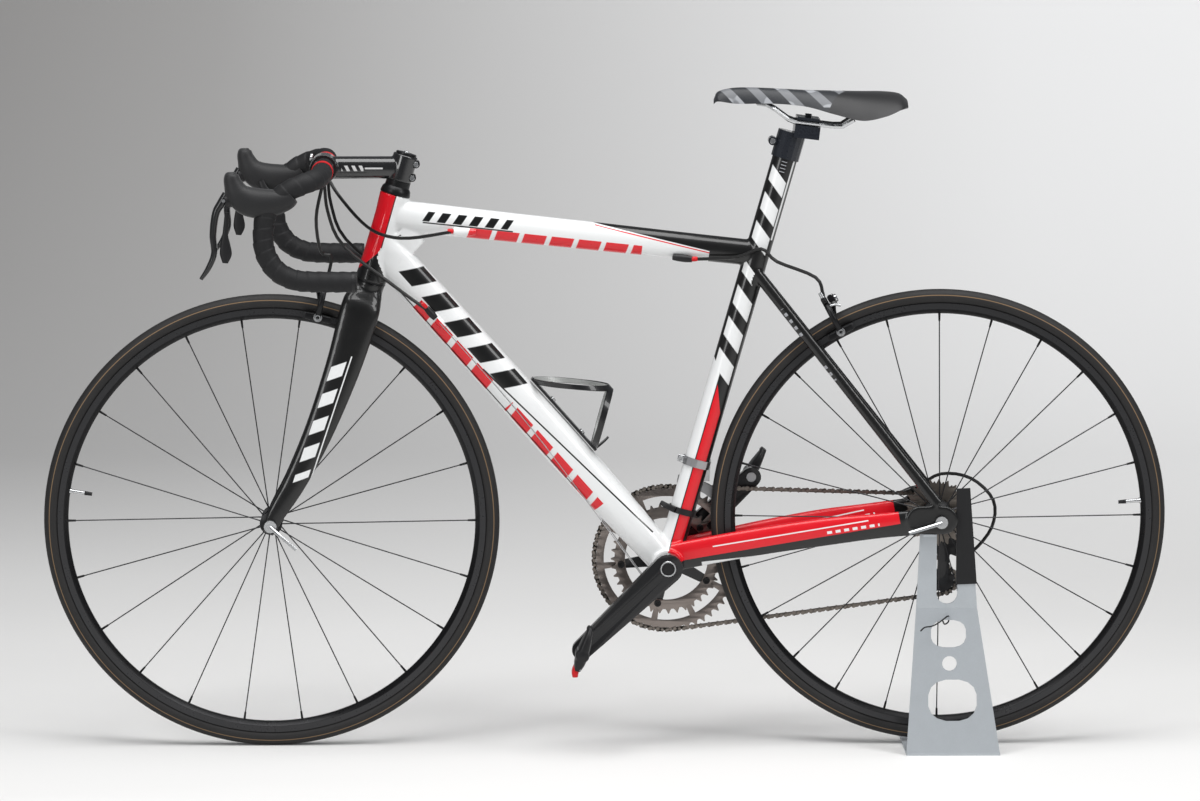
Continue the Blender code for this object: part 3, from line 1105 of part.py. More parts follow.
RAIL_FRONT = 0.060            # from the clamp to where the rails rise into the nose
rail_half = [clamp_at - (RAIL_FRONT + 0.012) * BACK + Vector((0, 0.0, 0.0275)),
             clamp_at - RAIL_FRONT * BACK + Vector((0, 0.009, 0.0265)),
             clamp_at - 0.048 * BACK + Vector((0, 0.0155, 0.0200)),
             clamp_at - 0.029 * rail_along + RAIL_Y * ALONG_Y + 0.0022 * rail_up,
             clamp_at - 0.020 * rail_along + RAIL_Y * ALONG_Y,
             clamp_at + 0.038 * rail_along + RAIL_Y * ALONG_Y,
             clamp_at + 0.050 * rail_along + (RAIL_Y + 0.002) * ALONG_Y + 0.0015 * rail_up,
             clamp_at + Vector((0.066, RAIL_Y + 0.007, 0.0055))]
mirrored = [Vector((p.x, -p.y, p.z)) for p in reversed(rail_half[1:])]
saddle_rails = curve_tube("saddle_rails", mirrored + rail_half, RAIL_RADIUS, SILVER_ALLOY)

SADDLE_THICKNESS = 0.011
SADDLE_NOSE = -0.137          # from the clamp
# share of the length from nose to tail, half width, top above the clamp, droop of the edges
SADDLE_SHAPE = [(0.000, 0.009, 0.0345, 0.003), (0.025, 0.0155, 0.0455, 0.012), (0.12, 0.0190, 0.0510, 0.0225),
                (0.30, 0.0210, 0.0505, 0.0215), (0.47, 0.0275, 0.0480, 0.0230), (0.62, 0.0430, 0.0465, 0.0320),
                (0.76, 0.0600, 0.0455, 0.0390), (0.88, 0.0665, 0.0450, 0.0320), (0.96, 0.0580, 0.0420, 0.0200),
                (1.00, 0.0420, 0.0340, 0.0080)]
SADDLE_LENGTH = 0.281


def saddle_ring(share, half_width, top, droop):
    """Crescent section: a crowned top whose edges droop, over a hollow underside."""
    points = 9
    x = clamp_at.x + SADDLE_NOSE + share * SADDLE_LENGTH
    ring = []
    for i in range(points):
        u = 2 * i / (points - 1) - 1
        ring.append(Vector((x, half_width * u, clamp_at.z + top - droop * abs(u) ** 2.6)))
    for i in range(points - 2, 0, -1):
        u = 2 * i / (points - 1) - 1
        skin = SADDLE_THICKNESS * (1 - 0.55 * u * u)
        ring.append(Vector((x, (half_width - 0.002) * u,
                            clamp_at.z + top - droop * abs(u) ** 2.6 - skin)))
    return ring


saddle = loft("saddle", [saddle_ring(*section) for section in SADDLE_SHAPE], SADDLE_COVER)

# ---------------------------------------------------------------- cable housings
HOUSING_RADIUS = 0.0025
top_tube_under = top_tube_stations[1][0] + Vector((0, -0.0215, -0.010))

front_brake_route = [BAR_CENTRE + Vector((0.000, -0.060, -0.0185)),
                     BAR_CENTRE + Vector((-0.010, -0.050, -0.070)),
                     BAR_CENTRE + Vector((-0.004, -0.030, -0.120)), front_bolt + Vector((0.010, -0.022, 0.045)),
                     front_bolt + Vector((0.004, -0.0205, 0.012))]
rear_brake_route = [BAR_CENTRE + Vector((0.002, 0.064, -0.0175)), BAR_CENTRE + Vector((0.020, 0.048, -0.045)),
                    BAR_CENTRE + Vector((0.055, 0.000, -0.080)), BAR_CENTRE + Vector((0.085, -0.034, -0.095)),
                    BAR_CENTRE + Vector((0.125, -0.036, -0.100)),
                    top_tube_under + Vector((-0.012, -0.0035, -0.0005))]
down_under = down_tube_stations[1][0]
left_shift_route = [BAR_CENTRE + Vector((0.003, -0.078, -0.0165)), BAR_CENTRE + Vector((0.008, -0.070, -0.060)),
                    BAR_CENTRE + Vector((0.030, -0.052, -0.110)), down_under + Vector((-0.062, -0.038, 0.034)),
                    down_under + Vector((-0.012, -0.0275, -0.004))]
right_shift_route = [Vector((p[0], -p[1], p[2])) for p in left_shift_route]
front_brake_housing = curve_tube("front_brake_housing", smooth_path(front_brake_route, 4), HOUSING_RADIUS,
                                 CABLE_BLACK)
rear_brake_housing_front = curve_tube("rear_brake_housing_front", smooth_path(rear_brake_route, 4),
                                      HOUSING_RADIUS, CABLE_BLACK)
left_shift_housing = curve_tube("left_shift_housing", smooth_path(left_shift_route, 4), HOUSING_RADIUS,
                                CABLE_BLACK)
right_shift_housing = curve_tube("right_shift_housing", smooth_path(right_shift_route, 4), HOUSING_RADIUS,
                                 CABLE_BLACK)

top_tube_low = top_tube_stations[4][0]
rear_loop_route = [top_tube_low + Vector((0.010, -0.0205, -0.018)),
                   at_seat(TOP_TUBE_HEIGHT - 0.012, -0.030, -0.0245),
                   at_seat(TOP_TUBE_HEIGHT + 0.010, 0.002, -0.0255),
                   at_seat(TOP_TUBE_HEIGHT - 0.002, 0.030, -0.022),
                   rear_bolt + Vector((-0.016, -0.0200, 0.040)), rear_bolt + Vector((-0.004, -0.0200, 0.0125))]
rear_brake_housing_rear = curve_tube("rear_brake_housing_rear", smooth_path(rear_loop_route, 4),
                                     HOUSING_RADIUS, CABLE_BLACK)
mech_entry = guide_middle + Vector((0.034, REAR_DROPOUT_OUTER + 0.007, -0.008))
gear_loop_route = [REAR_AXLE + Vector((-0.026, 0.0745, 0.030)), REAR_AXLE + Vector((0.010, 0.0785, 0.050)),
                   REAR_AXLE + Vector((0.055, 0.0790, 0.043)), REAR_AXLE + Vector((0.088, 0.0790, 0.010)),
                   REAR_AXLE + Vector((0.086, 0.0785, -0.030)), mech_entry + Vector((0.012, 0, -0.002)),
                   mech_entry]
rear_derailleur_housing = curve_tube("rear_derailleur_housing", smooth_path(gear_loop_route, 4),
                                     HOUSING_RADIUS, CABLE_BLACK)

# ---------------------------------------------------------------- stand
BASE_X = (-0.051, 0.086)
BEND_X = (-0.035, 0.054)
TOP_X = (-0.027, 0.041)
SLOT_X = (-0.0055, -0.0055 + 2 * STAND_SLOT_RADIUS)
LIP_TOP = REAR_AXLE_HEIGHT + DROPOUT_BACK.z - DROPOUT_RADIUS - GAP
half_sheet = STAND_SHEET / 2

stand = block("stand", (BASE_X[0], STAND_FOOT_Y - half_sheet, 0), (BASE_X[1], STAND_BASE_BACK_Y, STAND_SHEET),
              STAND_PAINT)
upright_rows = [(BASE_X, STAND_FOOT_Y, STAND_SHEET / 4), (BEND_X, STAND_PLATE_Y, STAND_BEND_HEIGHT),
                (TOP_X, STAND_PLATE_Y, STAND_TOP)]
upright_rings = [[Vector((x_range[a], y + b * half_sheet, z)) for a, b in ((0, -1), (1, -1), (1, 1), (0, 1))]
                 for x_range, y, z in upright_rows]
join(stand, loft("stand_upright", upright_rings, None, cutter=True))


def stand_slot(name, x_range, z_range):
    """A round-ended slot through the upright sheet."""
    middle = sum(x_range) / 2
    radius = (x_range[1] - x_range[0]) / 2
    start = Vector((middle, 0, z_range[0] + radius))
    end = Vector((middle, 0, max(z_range[1] - radius, z_range[0] + radius + 0.0005)))
    return link_plate(name, start, end, (radius, radius), (-0.14, -0.02), (-0.14, -0.02), None, cutter=True)


def stand_hole(name, x_range, z_range, corner):
    """A hole with round corners through the upright sheet."""
    middle = Vector((sum(x_range) / 2, 0, sum(z_range) / 2))
    half_x, half_z = (x_range[1] - x_range[0]) / 2, (z_range[1] - z_range[0]) / 2
    ring = []
    for i in range(16):
        angle = 2 * math.pi * (i + 0.5) / 16
        across = math.copysign(abs(math.cos(angle)) ** corner, math.cos(angle))
        rise = math.copysign(abs(math.sin(angle)) ** corner, math.sin(angle))
        ring.append((middle.x + half_x * across, middle.z + half_z * rise))
    rings = [[Vector((x, y, z)) for x, z in ring] for y in (-0.14, -0.02)]
    return loft(name, rings, None, cutter=True)


cut(stand, stand_slot("stand_fork_slot", SLOT_X, (STAND_BEND_HEIGHT + 0.006, STAND_TOP + 0.05)),
    stand_hole("stand_upper_hole", (-0.014, 0.038), (0.154, 0.194), 0.75),
    stand_hole("stand_round_hole", (0.0022, 0.0238), (0.1207, 0.1423), 1.0),
    stand_hole("stand_lower_hole", (-0.019, 0.053), (0.0485, 0.109), 0.80),
    block("stand_front_prong_top", (-0.06, -0.09, LIP_TOP - 0.001),
          (SLOT_X[0] + 0.003, -0.02, STAND_TOP + 0.02), None, cutter=True))
LIP_OUT = REAR_DROPOUT_OUTER + 0.001
join(stand, block("stand_lip", (-0.026, -LIP_OUT, LIP_TOP - 0.003),
                  (SLOT_X[0] - 0.0015, STAND_PLATE_Y + 0.001, LIP_TOP), None, cutter=True))


def sleeve_stations(grow, low, high):
    """The rear prong's outline as an upright taper; grow thickens it all round."""
    stations = []
    for z in (low, high):
        share = (z - STAND_BEND_HEIGHT) / (STAND_TOP - STAND_BEND_HEIGHT)
        right = BEND_X[1] + (TOP_X[1] - BEND_X[1]) * share
        middle = (SLOT_X[1] + right) / 2
        stations.append((Vector((middle, STAND_PLATE_Y, z)), (right - SLOT_X[1]) / 2 + grow,
                         half_sheet + grow))
    return stations


sleeve = sweep("stand_sleeve", sleeve_stations(SLEEVE_WALL + GAP, SLEEVE_BOTTOM, STAND_TOP + 0.003),
               GRIP_RUBBER, power=None)
cut(sleeve, sweep("sleeve_bore", sleeve_stations(GAP, SLEEVE_BOTTOM - 0.01, STAND_TOP + GAP), None,
                  power=None, cutter=True))

# ---------------------------------------------------------------- moving bodies on their axes
steered = [fork, headset_spacer, stem, faceplate, handlebar, left_hood, right_hood, front_axle_piece,
           front_brake_housing]
pivot("steering", at_steerer(HEAD_BOTTOM), steered)
pivot("front_wheel", FRONT_AXLE, front_wheel_pieces)
pivot("rear_wheel", REAR_AXLE, rear_wheel_pieces)
pivot("cassette", REAR_AXLE, [cassette])
pivot("crankset", BRACKET, [left_crank, right_crank, big_ring, small_ring])
pivot("left_pedal", LEFT_PEDAL, [left_pedal])
pivot("right_pedal", RIGHT_PEDAL, [right_pedal])
pivot("left_brake_lever", at_bar_end(-1, *LEVER_PIVOT), [left_lever])
pivot("right_brake_lever", at_bar_end(1, *LEVER_PIVOT), [right_lever])
pivot("left_shift_paddle", at_bar_end(-1, *PADDLE_PIVOT), [left_paddle])
pivot("right_shift_paddle", at_bar_end(1, *PADDLE_PIVOT), [right_paddle])
pivot("front_brake", front_bolt, front_arms)
pivot("rear_brake", rear_bolt, rear_arms)
pivot("front_quick_release", front_lever_root, [front_lever])
pivot("rear_quick_release", rear_lever_root, [rear_lever])
pivot("rear_derailleur_cage", GUIDE_PULLEY, [rear_cage, guide_pulley])
pivot("tension_pulley", TENSION_PULLEY, [tension_pulley])
pivot("front_derailleur_cage", at_seat(FRONT_MECH_HEIGHT - 0.020, 0.020, 0.0255), [front_cage])
pivot("seat_height", at_seat(MAST_LENGTH), [topper])
pivot("saddle_slide", clamp_at, [saddle, saddle_rails])
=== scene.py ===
"""Looks of the road bicycle on its display stand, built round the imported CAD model.

Metres, +Z up.  The bicycle points along -X, its left side is -Y, and its middle plane is Y = 0.
"""
import math

import bmesh
import bpy
from mathutils import Matrix, Vector


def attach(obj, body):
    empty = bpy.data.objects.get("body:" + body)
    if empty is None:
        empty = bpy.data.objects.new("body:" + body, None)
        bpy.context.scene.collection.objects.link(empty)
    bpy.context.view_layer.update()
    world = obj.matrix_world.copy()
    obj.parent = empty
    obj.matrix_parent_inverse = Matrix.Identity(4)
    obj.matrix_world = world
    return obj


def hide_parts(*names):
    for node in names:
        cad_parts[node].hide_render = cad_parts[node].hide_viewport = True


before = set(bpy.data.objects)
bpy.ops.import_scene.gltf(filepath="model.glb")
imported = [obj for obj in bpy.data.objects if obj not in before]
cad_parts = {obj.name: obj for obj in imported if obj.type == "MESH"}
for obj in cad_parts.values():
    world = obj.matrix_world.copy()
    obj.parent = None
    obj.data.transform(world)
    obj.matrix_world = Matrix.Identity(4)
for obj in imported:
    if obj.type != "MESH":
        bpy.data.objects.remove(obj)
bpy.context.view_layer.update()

# ---------------------------------------------------------------- sizes repeated from the CAD source
TYRE_RADIUS = 0.334
TYRE_SECTION = 0.0115
RIM_DEPTH = 0.0155
RIM_HALF_WIDTH = 0.0098
RIM_NOSE = 0.0035
BRAKE_TRACK = 0.009
BIG_RING_TEETH, SMALL_RING_TEETH = 53, 39
SMALL_COG_TEETH, PULLEY_TEETH = 11, 10
HEAD_ANGLE = math.radians(74)
FORK_RAKE = 0.043
FORK_LENGTH = 0.379
HEAD_TUBE_LENGTH = 0.133
HEAD_TUBE_RADIUS = 0.0222
SPACER_LENGTH = 0.021
STEM_CLAMP_HEIGHT = 0.0385
STEM_LENGTH = 0.1145
BAR_RADIUS = 0.0122
BAR_CLAMP_RADIUS = 0.0159
TAPE_RADIUS = 0.0157
BAR_HALF_WIDTH = 0.210
BAR_REACH = 0.080
BAR_DROP = 0.146
BAR_END_LENGTH = 0.085
MAST_LENGTH = 0.646
SEAT_TUBE_RADIUS = 0.0185
TOP_TUBE_HEIGHT = 0.475
TOP_TUBE_DROP = 0.032
DOWN_TUBE_DROP = 0.075
STAY_HEIGHT = 0.450
FRONT_HUB_HALF = 0.050
REAR_HUB_HALF = 0.065
DROPOUT_THICKNESS = 0.006
FORK_TIP_OUTER = 0.0578
CRANK_LENGTH = 0.1725
CRANK_ANGLE = math.radians(43)
CHAIN_PITCH = 0.0127
COG_Y = 0.0595
BIG_RING_Y, SMALL_RING_Y = 0.045, 0.038
BOLT_CIRCLE = 0.0675
RIM_OUTER = TYRE_RADIUS - TYRE_SECTION + TYRE_SECTION * math.cos(math.radians(140))

ALONG_X, ALONG_Y, ALONG_Z = Vector((1, 0, 0)), Vector((0, 1, 0)), Vector((0, 0, 1))
REAR_AXLE = Vector((0, 0, 0.340))
FRONT_AXLE = Vector((-0.978, 0, 0.334))
BRACKET = Vector((-0.398, 0, 0.270))
STEER_UP = Vector((math.cos(HEAD_ANGLE), 0, math.sin(HEAD_ANGLE)))
STEER_AHEAD = Vector((-math.sin(HEAD_ANGLE), 0, math.cos(HEAD_ANGLE)))
STEER_BASE = FRONT_AXLE - FORK_RAKE * STEER_AHEAD
SEAT_UP = STEER_UP
SEAT_BACK = -STEER_AHEAD
HEAD_TOP = FORK_LENGTH + HEAD_TUBE_LENGTH
STEM_BOTTOM = HEAD_TOP + SPACER_LENGTH
STEM_TOP = STEM_BOTTOM + STEM_CLAMP_HEIGHT


def at_steerer(height, ahead=0.0, side=0.0):
    return STEER_BASE + height * STEER_UP + ahead * STEER_AHEAD + side * ALONG_Y


def at_seat(height, behind=0.0, side=0.0):
    return BRACKET + height * SEAT_UP + behind * Vector((SEAT_UP.z, 0, -SEAT_UP.x)) + side * ALONG_Y


def pitch_radius(teeth):
    return CHAIN_PITCH / (2 * math.sin(math.pi / teeth))


STEM_CENTRE = at_steerer((STEM_BOTTOM + STEM_TOP) / 2)
BAR_CENTRE = STEM_CENTRE - STEM_LENGTH * ALONG_X
LEFT_PEDAL = BRACKET - CRANK_LENGTH * Vector((math.cos(CRANK_ANGLE), 0, math.sin(CRANK_ANGLE)))
RIGHT_PEDAL = 2 * BRACKET - LEFT_PEDAL
GUIDE_PULLEY = REAR_AXLE + Vector((0.014, COG_Y, -0.054))
TENSION_PULLEY = REAR_AXLE + Vector((0.012, COG_Y, -0.106))
CLAMP_AT = at_seat(MAST_LENGTH) + Vector((0.026, 0, 0.0275))
RAIL_UP = Vector((0.118, 0, 0.993)).normalized()


# ---------------------------------------------------------------- stage, light and camera
def make_camera():
    data = bpy.data.cameras.new("camera")
    camera = bpy.data.objects.new("camera", data)
    bpy.context.scene.collection.objects.link(camera)
    camera.location = (-0.62604, -8.57545, 1.57888)
    camera.rotation_euler = (math.radians(82.89775), 0, math.radians(-0.86466))
    data.sensor_width = 36.0
    data.lens = 176.983
    data.clip_end = 60
    bpy.context.scene.camera = camera
    bpy.context.scene.view_settings.view_transform = 'Standard'
    bpy.context.scene.view_settings.look = 'None'


def make_stage():
    """A pale floor that curves up behind, low enough to look over from the far side."""
    profile = [(-7.0, 0.0), (3.2, 0.0)]
    bend = 2.6
    for i in range(1, 13):
        angle = math.radians(58) * i / 12
        profile.append((3.2 + bend * math.sin(angle), bend * (1 - math.cos(angle))))
    vertices = [(x, y, z) for y, z in profile for x in (-11.0, 10.0)]
    faces = [(2 * i, 2 * i + 1, 2 * i + 3, 2 * i + 2) for i in range(len(profile) - 1)]
    mesh = bpy.data.meshes.new("studio_sweep")
    mesh.from_pydata(vertices, [], faces)
    mesh.shade_smooth()
    sweep_floor = bpy.data.objects.new("studio_sweep", mesh)
    bpy.context.scene.collection.objects.link(sweep_floor)
    mesh.materials.append(STUDIO_PAPER)


def area_light(name, location, target, size, power, colour=(1, 1, 1)):
    data = bpy.data.lights.new(name, 'AREA')
    data.shape = 'RECTANGLE'
    data.size, data.size_y = size
    data.energy = power
    data.color = colour
    lamp = bpy.data.objects.new(name, data)
    lamp.location = location
    aim = Vector(target) - Vector(location)
    lamp.rotation_euler = aim.to_track_quat('-Z', 'Y').to_euler()
    bpy.context.scene.collection.objects.link(lamp)


def make_lights():
    world = bpy.data.worlds.new("studio")
    bpy.context.scene.world = world
    world.use_nodes = True
    backing = world.node_tree.nodes["Background"]
    backing.inputs["Color"].default_value = (0.80, 0.83, 0.88, 1)
    backing.inputs["Strength"].default_value = 0.16
    area_light("overhead_softbox", (-0.3, -0.7, 3.6), (-0.5, 0.4, 0.4), (3.8, 2.4), 150)
    area_light("front_left_softbox", (-3.1, -3.0, 2.0), (-0.5, 0, 0.5), (1.0, 2.4), 48)
    area_light("right_softbox", (2.5, -2.4, 2.6), (-0.3, 0, 0.5), (1.2, 2.0), 52)
    area_light("wall_wash", (1.8, 2.4, 2.9), (2.2, 5.8, 1.2), (2.5, 1.2), 60)


# ---------------------------------------------------------------- materials
class Field:
    """A number that varies over a surface; arithmetic on it adds Math nodes."""

    def __init__(self, tree, socket):
        self.tree = tree
        self.socket = socket

    def math(self, operation, *others):
        node = self.tree.nodes.new("ShaderNodeMath")
        node.operation = operation
        for slot, value in zip(node.inputs, (self, *others)):
            if isinstance(value, Field):
                self.tree.links.new(value.socket, slot)
            else:
                slot.default_value = value
        return Field(self.tree, node.outputs[0])

    def __add__(self, other):
        return self.math('ADD', other)

    def __sub__(self, other):
        return self.math('SUBTRACT', other)

    def __mul__(self, other):
        return self.math('MULTIPLY', other)

    __radd__, __rmul__ = __add__, __mul__

    def __rsub__(self, other):
        return (self * -1) + other

    def above(self, edge, soft=0.0006):
        """1 where the field is above the edge, 0 below it, with a narrow soft step."""
        shifted = (self - edge) * (1 / soft) + 0.5
        shifted.socket.node.use_clamp = True
        return shifted

    def below(self, edge, soft=0.0006):
        return 1 - self.above(edge, soft)

    def between(self, low, high, soft=0.0006):
        return self.above(low, soft) * self.below(high, soft)

    def stripes(self, pitch, share, soft=0.03):
        """1 on the first share of every pitch."""
        phase = (self * (1 / pitch)).math('FRACT')
        return phase.between(soft / 2, share, soft)


class Place:
    """Where a point of the surface is, as fields read in the object's own coordinates."""

    def __init__(self, tree):
        self.tree = tree
        coordinates = tree.nodes.new("ShaderNodeTexCoord")
        self.vector = coordinates.outputs["Object"]
        parts = tree.nodes.new("ShaderNodeSeparateXYZ")
        tree.links.new(self.vector, parts.inputs[0])
        self.x, self.y, self.z = (Field(tree, output) for output in parts.outputs)

    def along(self, origin, direction):
        """Distance from the origin along a direction."""
        node = self.tree.nodes.new("ShaderNodeVectorMath")
        node.operation = 'DOT_PRODUCT'
        self.tree.links.new(self.vector, node.inputs[0])
        node.inputs[1].default_value = direction
        return Field(self.tree, node.outputs["Value"]) - Vector(origin).dot(direction)

    def from_axle(self, axle):
        """Distance from a wheel's axle."""
        across, up = self.x - axle.x, self.z - axle.z
        return (across * across + up * up).math('SQRT')

    def noise(self, scale, detail=3.0, stretch=None):
        node = self.tree.nodes.new("ShaderNodeTexNoise")
        node.inputs["Scale"].default_value = scale
        node.inputs["Detail"].default_value = detail
        source = self.vector
        if stretch:
            mapping = self.tree.nodes.new("ShaderNodeMapping")
            mapping.inputs["Scale"].default_value = stretch
            self.tree.links.new(source, mapping.inputs["Vector"])
            source = mapping.outputs[0]
        self.tree.links.new(source, node.inputs["Vector"])
        return Field(self.tree, node.outputs[0])


def surface(name, colour, roughness, metallic=0.0, coat=0.0, grain=300.0, relief=0.00003, mottle=0.12,
            layers=None, stretch=None, texture=None, sheen=0.0):
    """A finish with mottled colour, uneven gloss and a fine relief; layers are painted over the colour."""
    made = bpy.data.materials.new(name)
    made.use_nodes = True
    tree = made.node_tree
    shader = tree.nodes["Principled BSDF"]
    place = Place(tree)
    broad = place.noise(grain / 12, 2.0)
    fine = place.noise(grain, 4.0, stretch)

    def mixed(factor, under, over):
        node = tree.nodes.new("ShaderNodeMix")
        node.data_type = 'RGBA'
        tree.links.new(factor.socket, node.inputs["Factor"])
        for slot, value in ((node.inputs[6], under), (node.inputs[7], over)):
            if isinstance(value, tuple):
                slot.default_value = (*value, 1)
            else:
                tree.links.new(value, slot)
        return node.outputs[2]

    painted = mixed((broad * 0.6 + fine * 0.4) * mottle * 2, colour, tuple(c * 0.35 for c in colour))
    for mask, over in (layers(place) if layers else ()):
        painted = mixed(mask, painted, over)
    tree.links.new(painted, shader.inputs["Base Color"])
    tree.links.new(((fine * 0.16 + broad * 0.10) + (roughness - 0.13)).socket, shader.inputs["Roughness"])
    shader.inputs["Metallic"].default_value = metallic
    shader.inputs["Coat Weight"].default_value = coat
    shader.inputs["Coat Roughness"].default_value = 0.04
    shader.inputs["Specular IOR Level"].default_value = 0.32
    shader.inputs["Sheen Weight"].default_value = sheen
    bump = tree.nodes.new("ShaderNodeBump")
    bump.inputs["Distance"].default_value = relief
    bump.inputs["Strength"].default_value = 1.0
    height = texture(place) if texture else fine
    tree.links.new(height.socket, bump.inputs["Height"])
    tree.links.new(bump.outputs[0], shader.inputs["Normal"])
    return made


WHITE = (0.80, 0.81, 0.81)
RED = (0.70, 0.003, 0.012)
BLACK = (0.006, 0.006, 0.006)
GREY = (0.35, 0.36, 0.38)
GOLD_TAN = (0.23, 0.145, 0.075)


def backdrop_painted_shade_and_light(place):
    """Painted shade darkens the wall behind towards the left, and painted light brightens it towards the
    right.
    """
    wall = place.y.above(3.6, 4.0)
    shade = place.x.below(-0.75, 2.6)
    # painted shade on the left of the wall, then painted light on its right
    return [(wall * shade * 0.75, (0.26, 0.245, 0.235)),
            (wall * place.x.above(-0.4, 1.8), (0.95, 0.95, 0.95))]


STUDIO_PAPER = surface("studio_paper", (0.80, 0.795, 0.785), 0.85, grain=8, relief=0.0002, mottle=0.02,
                       layers=backdrop_painted_shade_and_light)
TUBE_TOP_START = at_steerer(HEAD_TOP - TOP_TUBE_DROP)
TUBE_TOP_ALONG = (at_seat(TOP_TUBE_HEIGHT) - TUBE_TOP_START).normalized()
TUBE_TOP_UP = Vector((-TUBE_TOP_ALONG.z, 0, TUBE_TOP_ALONG.x))
TUBE_DOWN_START = at_steerer(HEAD_TOP - DOWN_TUBE_DROP)
TUBE_DOWN_ALONG = (BRACKET - TUBE_DOWN_START).normalized()
TUBE_DOWN_UP = Vector((-TUBE_DOWN_ALONG.z, 0, TUBE_DOWN_ALONG.x))


def top_tube_paint(place):
    u, v = place.along(TUBE_TOP_START, TUBE_TOP_ALONG), place.along(TUBE_TOP_START, TUBE_TOP_UP)
    slashes = (u + v * -0.55).stripes(0.0235, 0.56) * (u - v * 0.55).between(0.050, 0.175) * v.between(-0.002,
                                                                                                       0.0125)
    underline = v.between(-0.0050, -0.0030) * u.between(0.050, 0.182)
    blocks = (u + v * -0.25).stripes(0.0400, 0.84) * u.between(0.112, 0.372) * v.between(-0.0205, -0.0050)
    wedge = (v + u * 0.135).above(0.0610) * u.above(0.20)
    gleam = (v + u * 0.135).between(0.0575, 0.0592) * u.above(0.30)
    tail = u.above(0.470)
    return [(blocks, RED), (slashes, BLACK), (underline, BLACK), (wedge, BLACK), (gleam, RED), (tail, BLACK)]


def down_tube_paint(place):
    u, v = place.along(TUBE_DOWN_START, TUBE_DOWN_ALONG), place.along(TUBE_DOWN_START, TUBE_DOWN_UP)
    slashes = (u - v * 0.6).stripes(0.0500, 0.60) * (u - v * 0.6).between(0.040, 0.292) * v.between(-0.007,
                                                                                                    0.0245)
    blocks = (u + v * 0.2).stripes(0.0440, 0.80) * v.between(-0.0270, -0.0095)
    blocks = blocks * (u.between(0.100, 0.262) + u.between(0.300, 0.500))
    edging = v.between(-0.0262, -0.0246) * u.between(0.06, 0.46)
    rule = (v - u * 0.075).between(-0.0285, -0.0262) * u.between(0.235, 0.580)
    return [(blocks, RED), (slashes, BLACK), (edging, BLACK), (rule, BLACK)]


def head_tube_paint(place):
    h, a = place.along(STEER_BASE, STEER_UP), place.along(STEER_BASE, STEER_AHEAD)
    rear = a.below(-0.0030)
    rim_line = a.between(-0.0030, -0.0015)
    low = (h + a * 1.44).below(FORK_LENGTH + 0.046)
    return [(rear, WHITE), (rim_line, BLACK), (low, BLACK)]


def seat_tube_paint(place):
    h, b = place.along(BRACKET, SEAT_UP), place.along(BRACKET, SEAT_BACK)
    white_part = (h + b * 1.5).below(0.285) * b.below(-0.0045)
    red_part = (h + b * 2.6).below(0.268) * b.between(-0.0030, 0.0125)
    slashes = (h + b * 0.8).stripes(0.0480, 0.60) * (h + b * 0.8).between(0.275, 0.450) * b.between(-0.015,
                                                                                                    0.013)
    upper = (h + b * 0.8).stripes(0.0440, 0.60) * (h + b * 0.8).between(0.475, 0.595) * b.between(-0.015,
                                                                                                  0.011)
    edge = b.between(0.0125, 0.0150) * h.between(0.50, 0.640)
    marks = h.stripes(0.0050, 0.25, 0.05) * b.between(-0.004, 0.004) * h.between(0.600, 0.625)
    return [(white_part, WHITE), (red_part, RED), (slashes, WHITE), (upper, WHITE), (edge, WHITE),
            (marks, GREY)]


def chainstay_paint(place):
    line = (REAR_AXLE - BRACKET).normalized()
    u, v = place.along(BRACKET, line), place.along(BRACKET, Vector((-line.z, 0, line.x)))
    red_part = (v + u * -0.012).above(0.0030) * u.below(0.345)
    # the thin white line along the red top is a painted highlight
    gleam = (v + u * -0.010).between(0.0150, 0.0168) * u.between(0.07, 0.30)
    dashes = u.stripes(0.0125, 0.6, 0.06) * v.between(0.0085, 0.0125) * u.between(0.235, 0.315)
    belly = (v + u * 0.05).below(-0.0010) * u.between(0.05, 0.255)
    return [(red_part, RED), (gleam, WHITE), (dashes, WHITE), (belly, WHITE)]


def seatstay_paint(place):
    line = (at_seat(STAY_HEIGHT) - REAR_AXLE).normalized()
    u = place.along(REAR_AXLE, line)
    dashes = u.stripes(0.012, 0.45, 0.06) * (u.between(0.335, 0.385) + u.between(0.255, 0.283))
    side = place.along(REAR_AXLE, Vector((-line.z, 0, line.x))).between(-0.0025, 0.0020)
    return [(dashes * side, GREY)]


def fork_paint(place):
    h, a = place.along(STEER_BASE, STEER_UP), place.along(STEER_BASE, STEER_AHEAD)
    slashes = (h + a * 0.7).stripes(0.0400, 0.54) * (h + a * 0.7).between(0.090, 0.275)
    slashes = slashes * (a + h * 0.045).between(0.0130, 0.0320)
    edge = (a + h * 0.045).between(0.0075, 0.0092) * h.between(0.070, 0.270)
    return [(slashes, WHITE), (edge, WHITE)]


def saddle_paint(place):
    u = place.x - (CLAMP_AT.x - 0.137)
    blots = place.noise(26, 1.0).above(0.52, 0.02)
    bands = (u + place.z * 0.8 + place.y * 0.3).stripes(0.041, 0.42)
    pale = bands * u.between(0.004, 0.190) * (place.z - CLAMP_AT.z).above(0.024)
    panel = (u + place.y.math('ABSOLUTE') * 0.9).above(0.200)
    return [(pale * (blots * 0.45 + 0.4), (0.34, 0.35, 0.37)), (panel, (0.008, 0.008, 0.009))]


def tyre_lines(axle):
    def layers(place):
        radius = place.from_axle(axle)
        line = radius.between(0.3252, 0.3262)
        rim_edge = radius.between(0.3120, 0.3132)
        return [(line, GOLD_TAN), (rim_edge, (0.045, 0.040, 0.036))]
    return layers


def rim_bands(axle):
    def layers(place):
        radius = place.from_axle(axle)
        return [(radius.above(RIM_OUTER - BRAKE_TRACK + 0.0004), (0.045, 0.045, 0.047))]
    return layers


def woven(place):
    """Crossed ridges of a carbon cloth."""
    warp = ((place.x + place.z) * 900).math('SINE')
    weft = ((place.x - place.z) * 900).math('SINE')
    return warp * weft


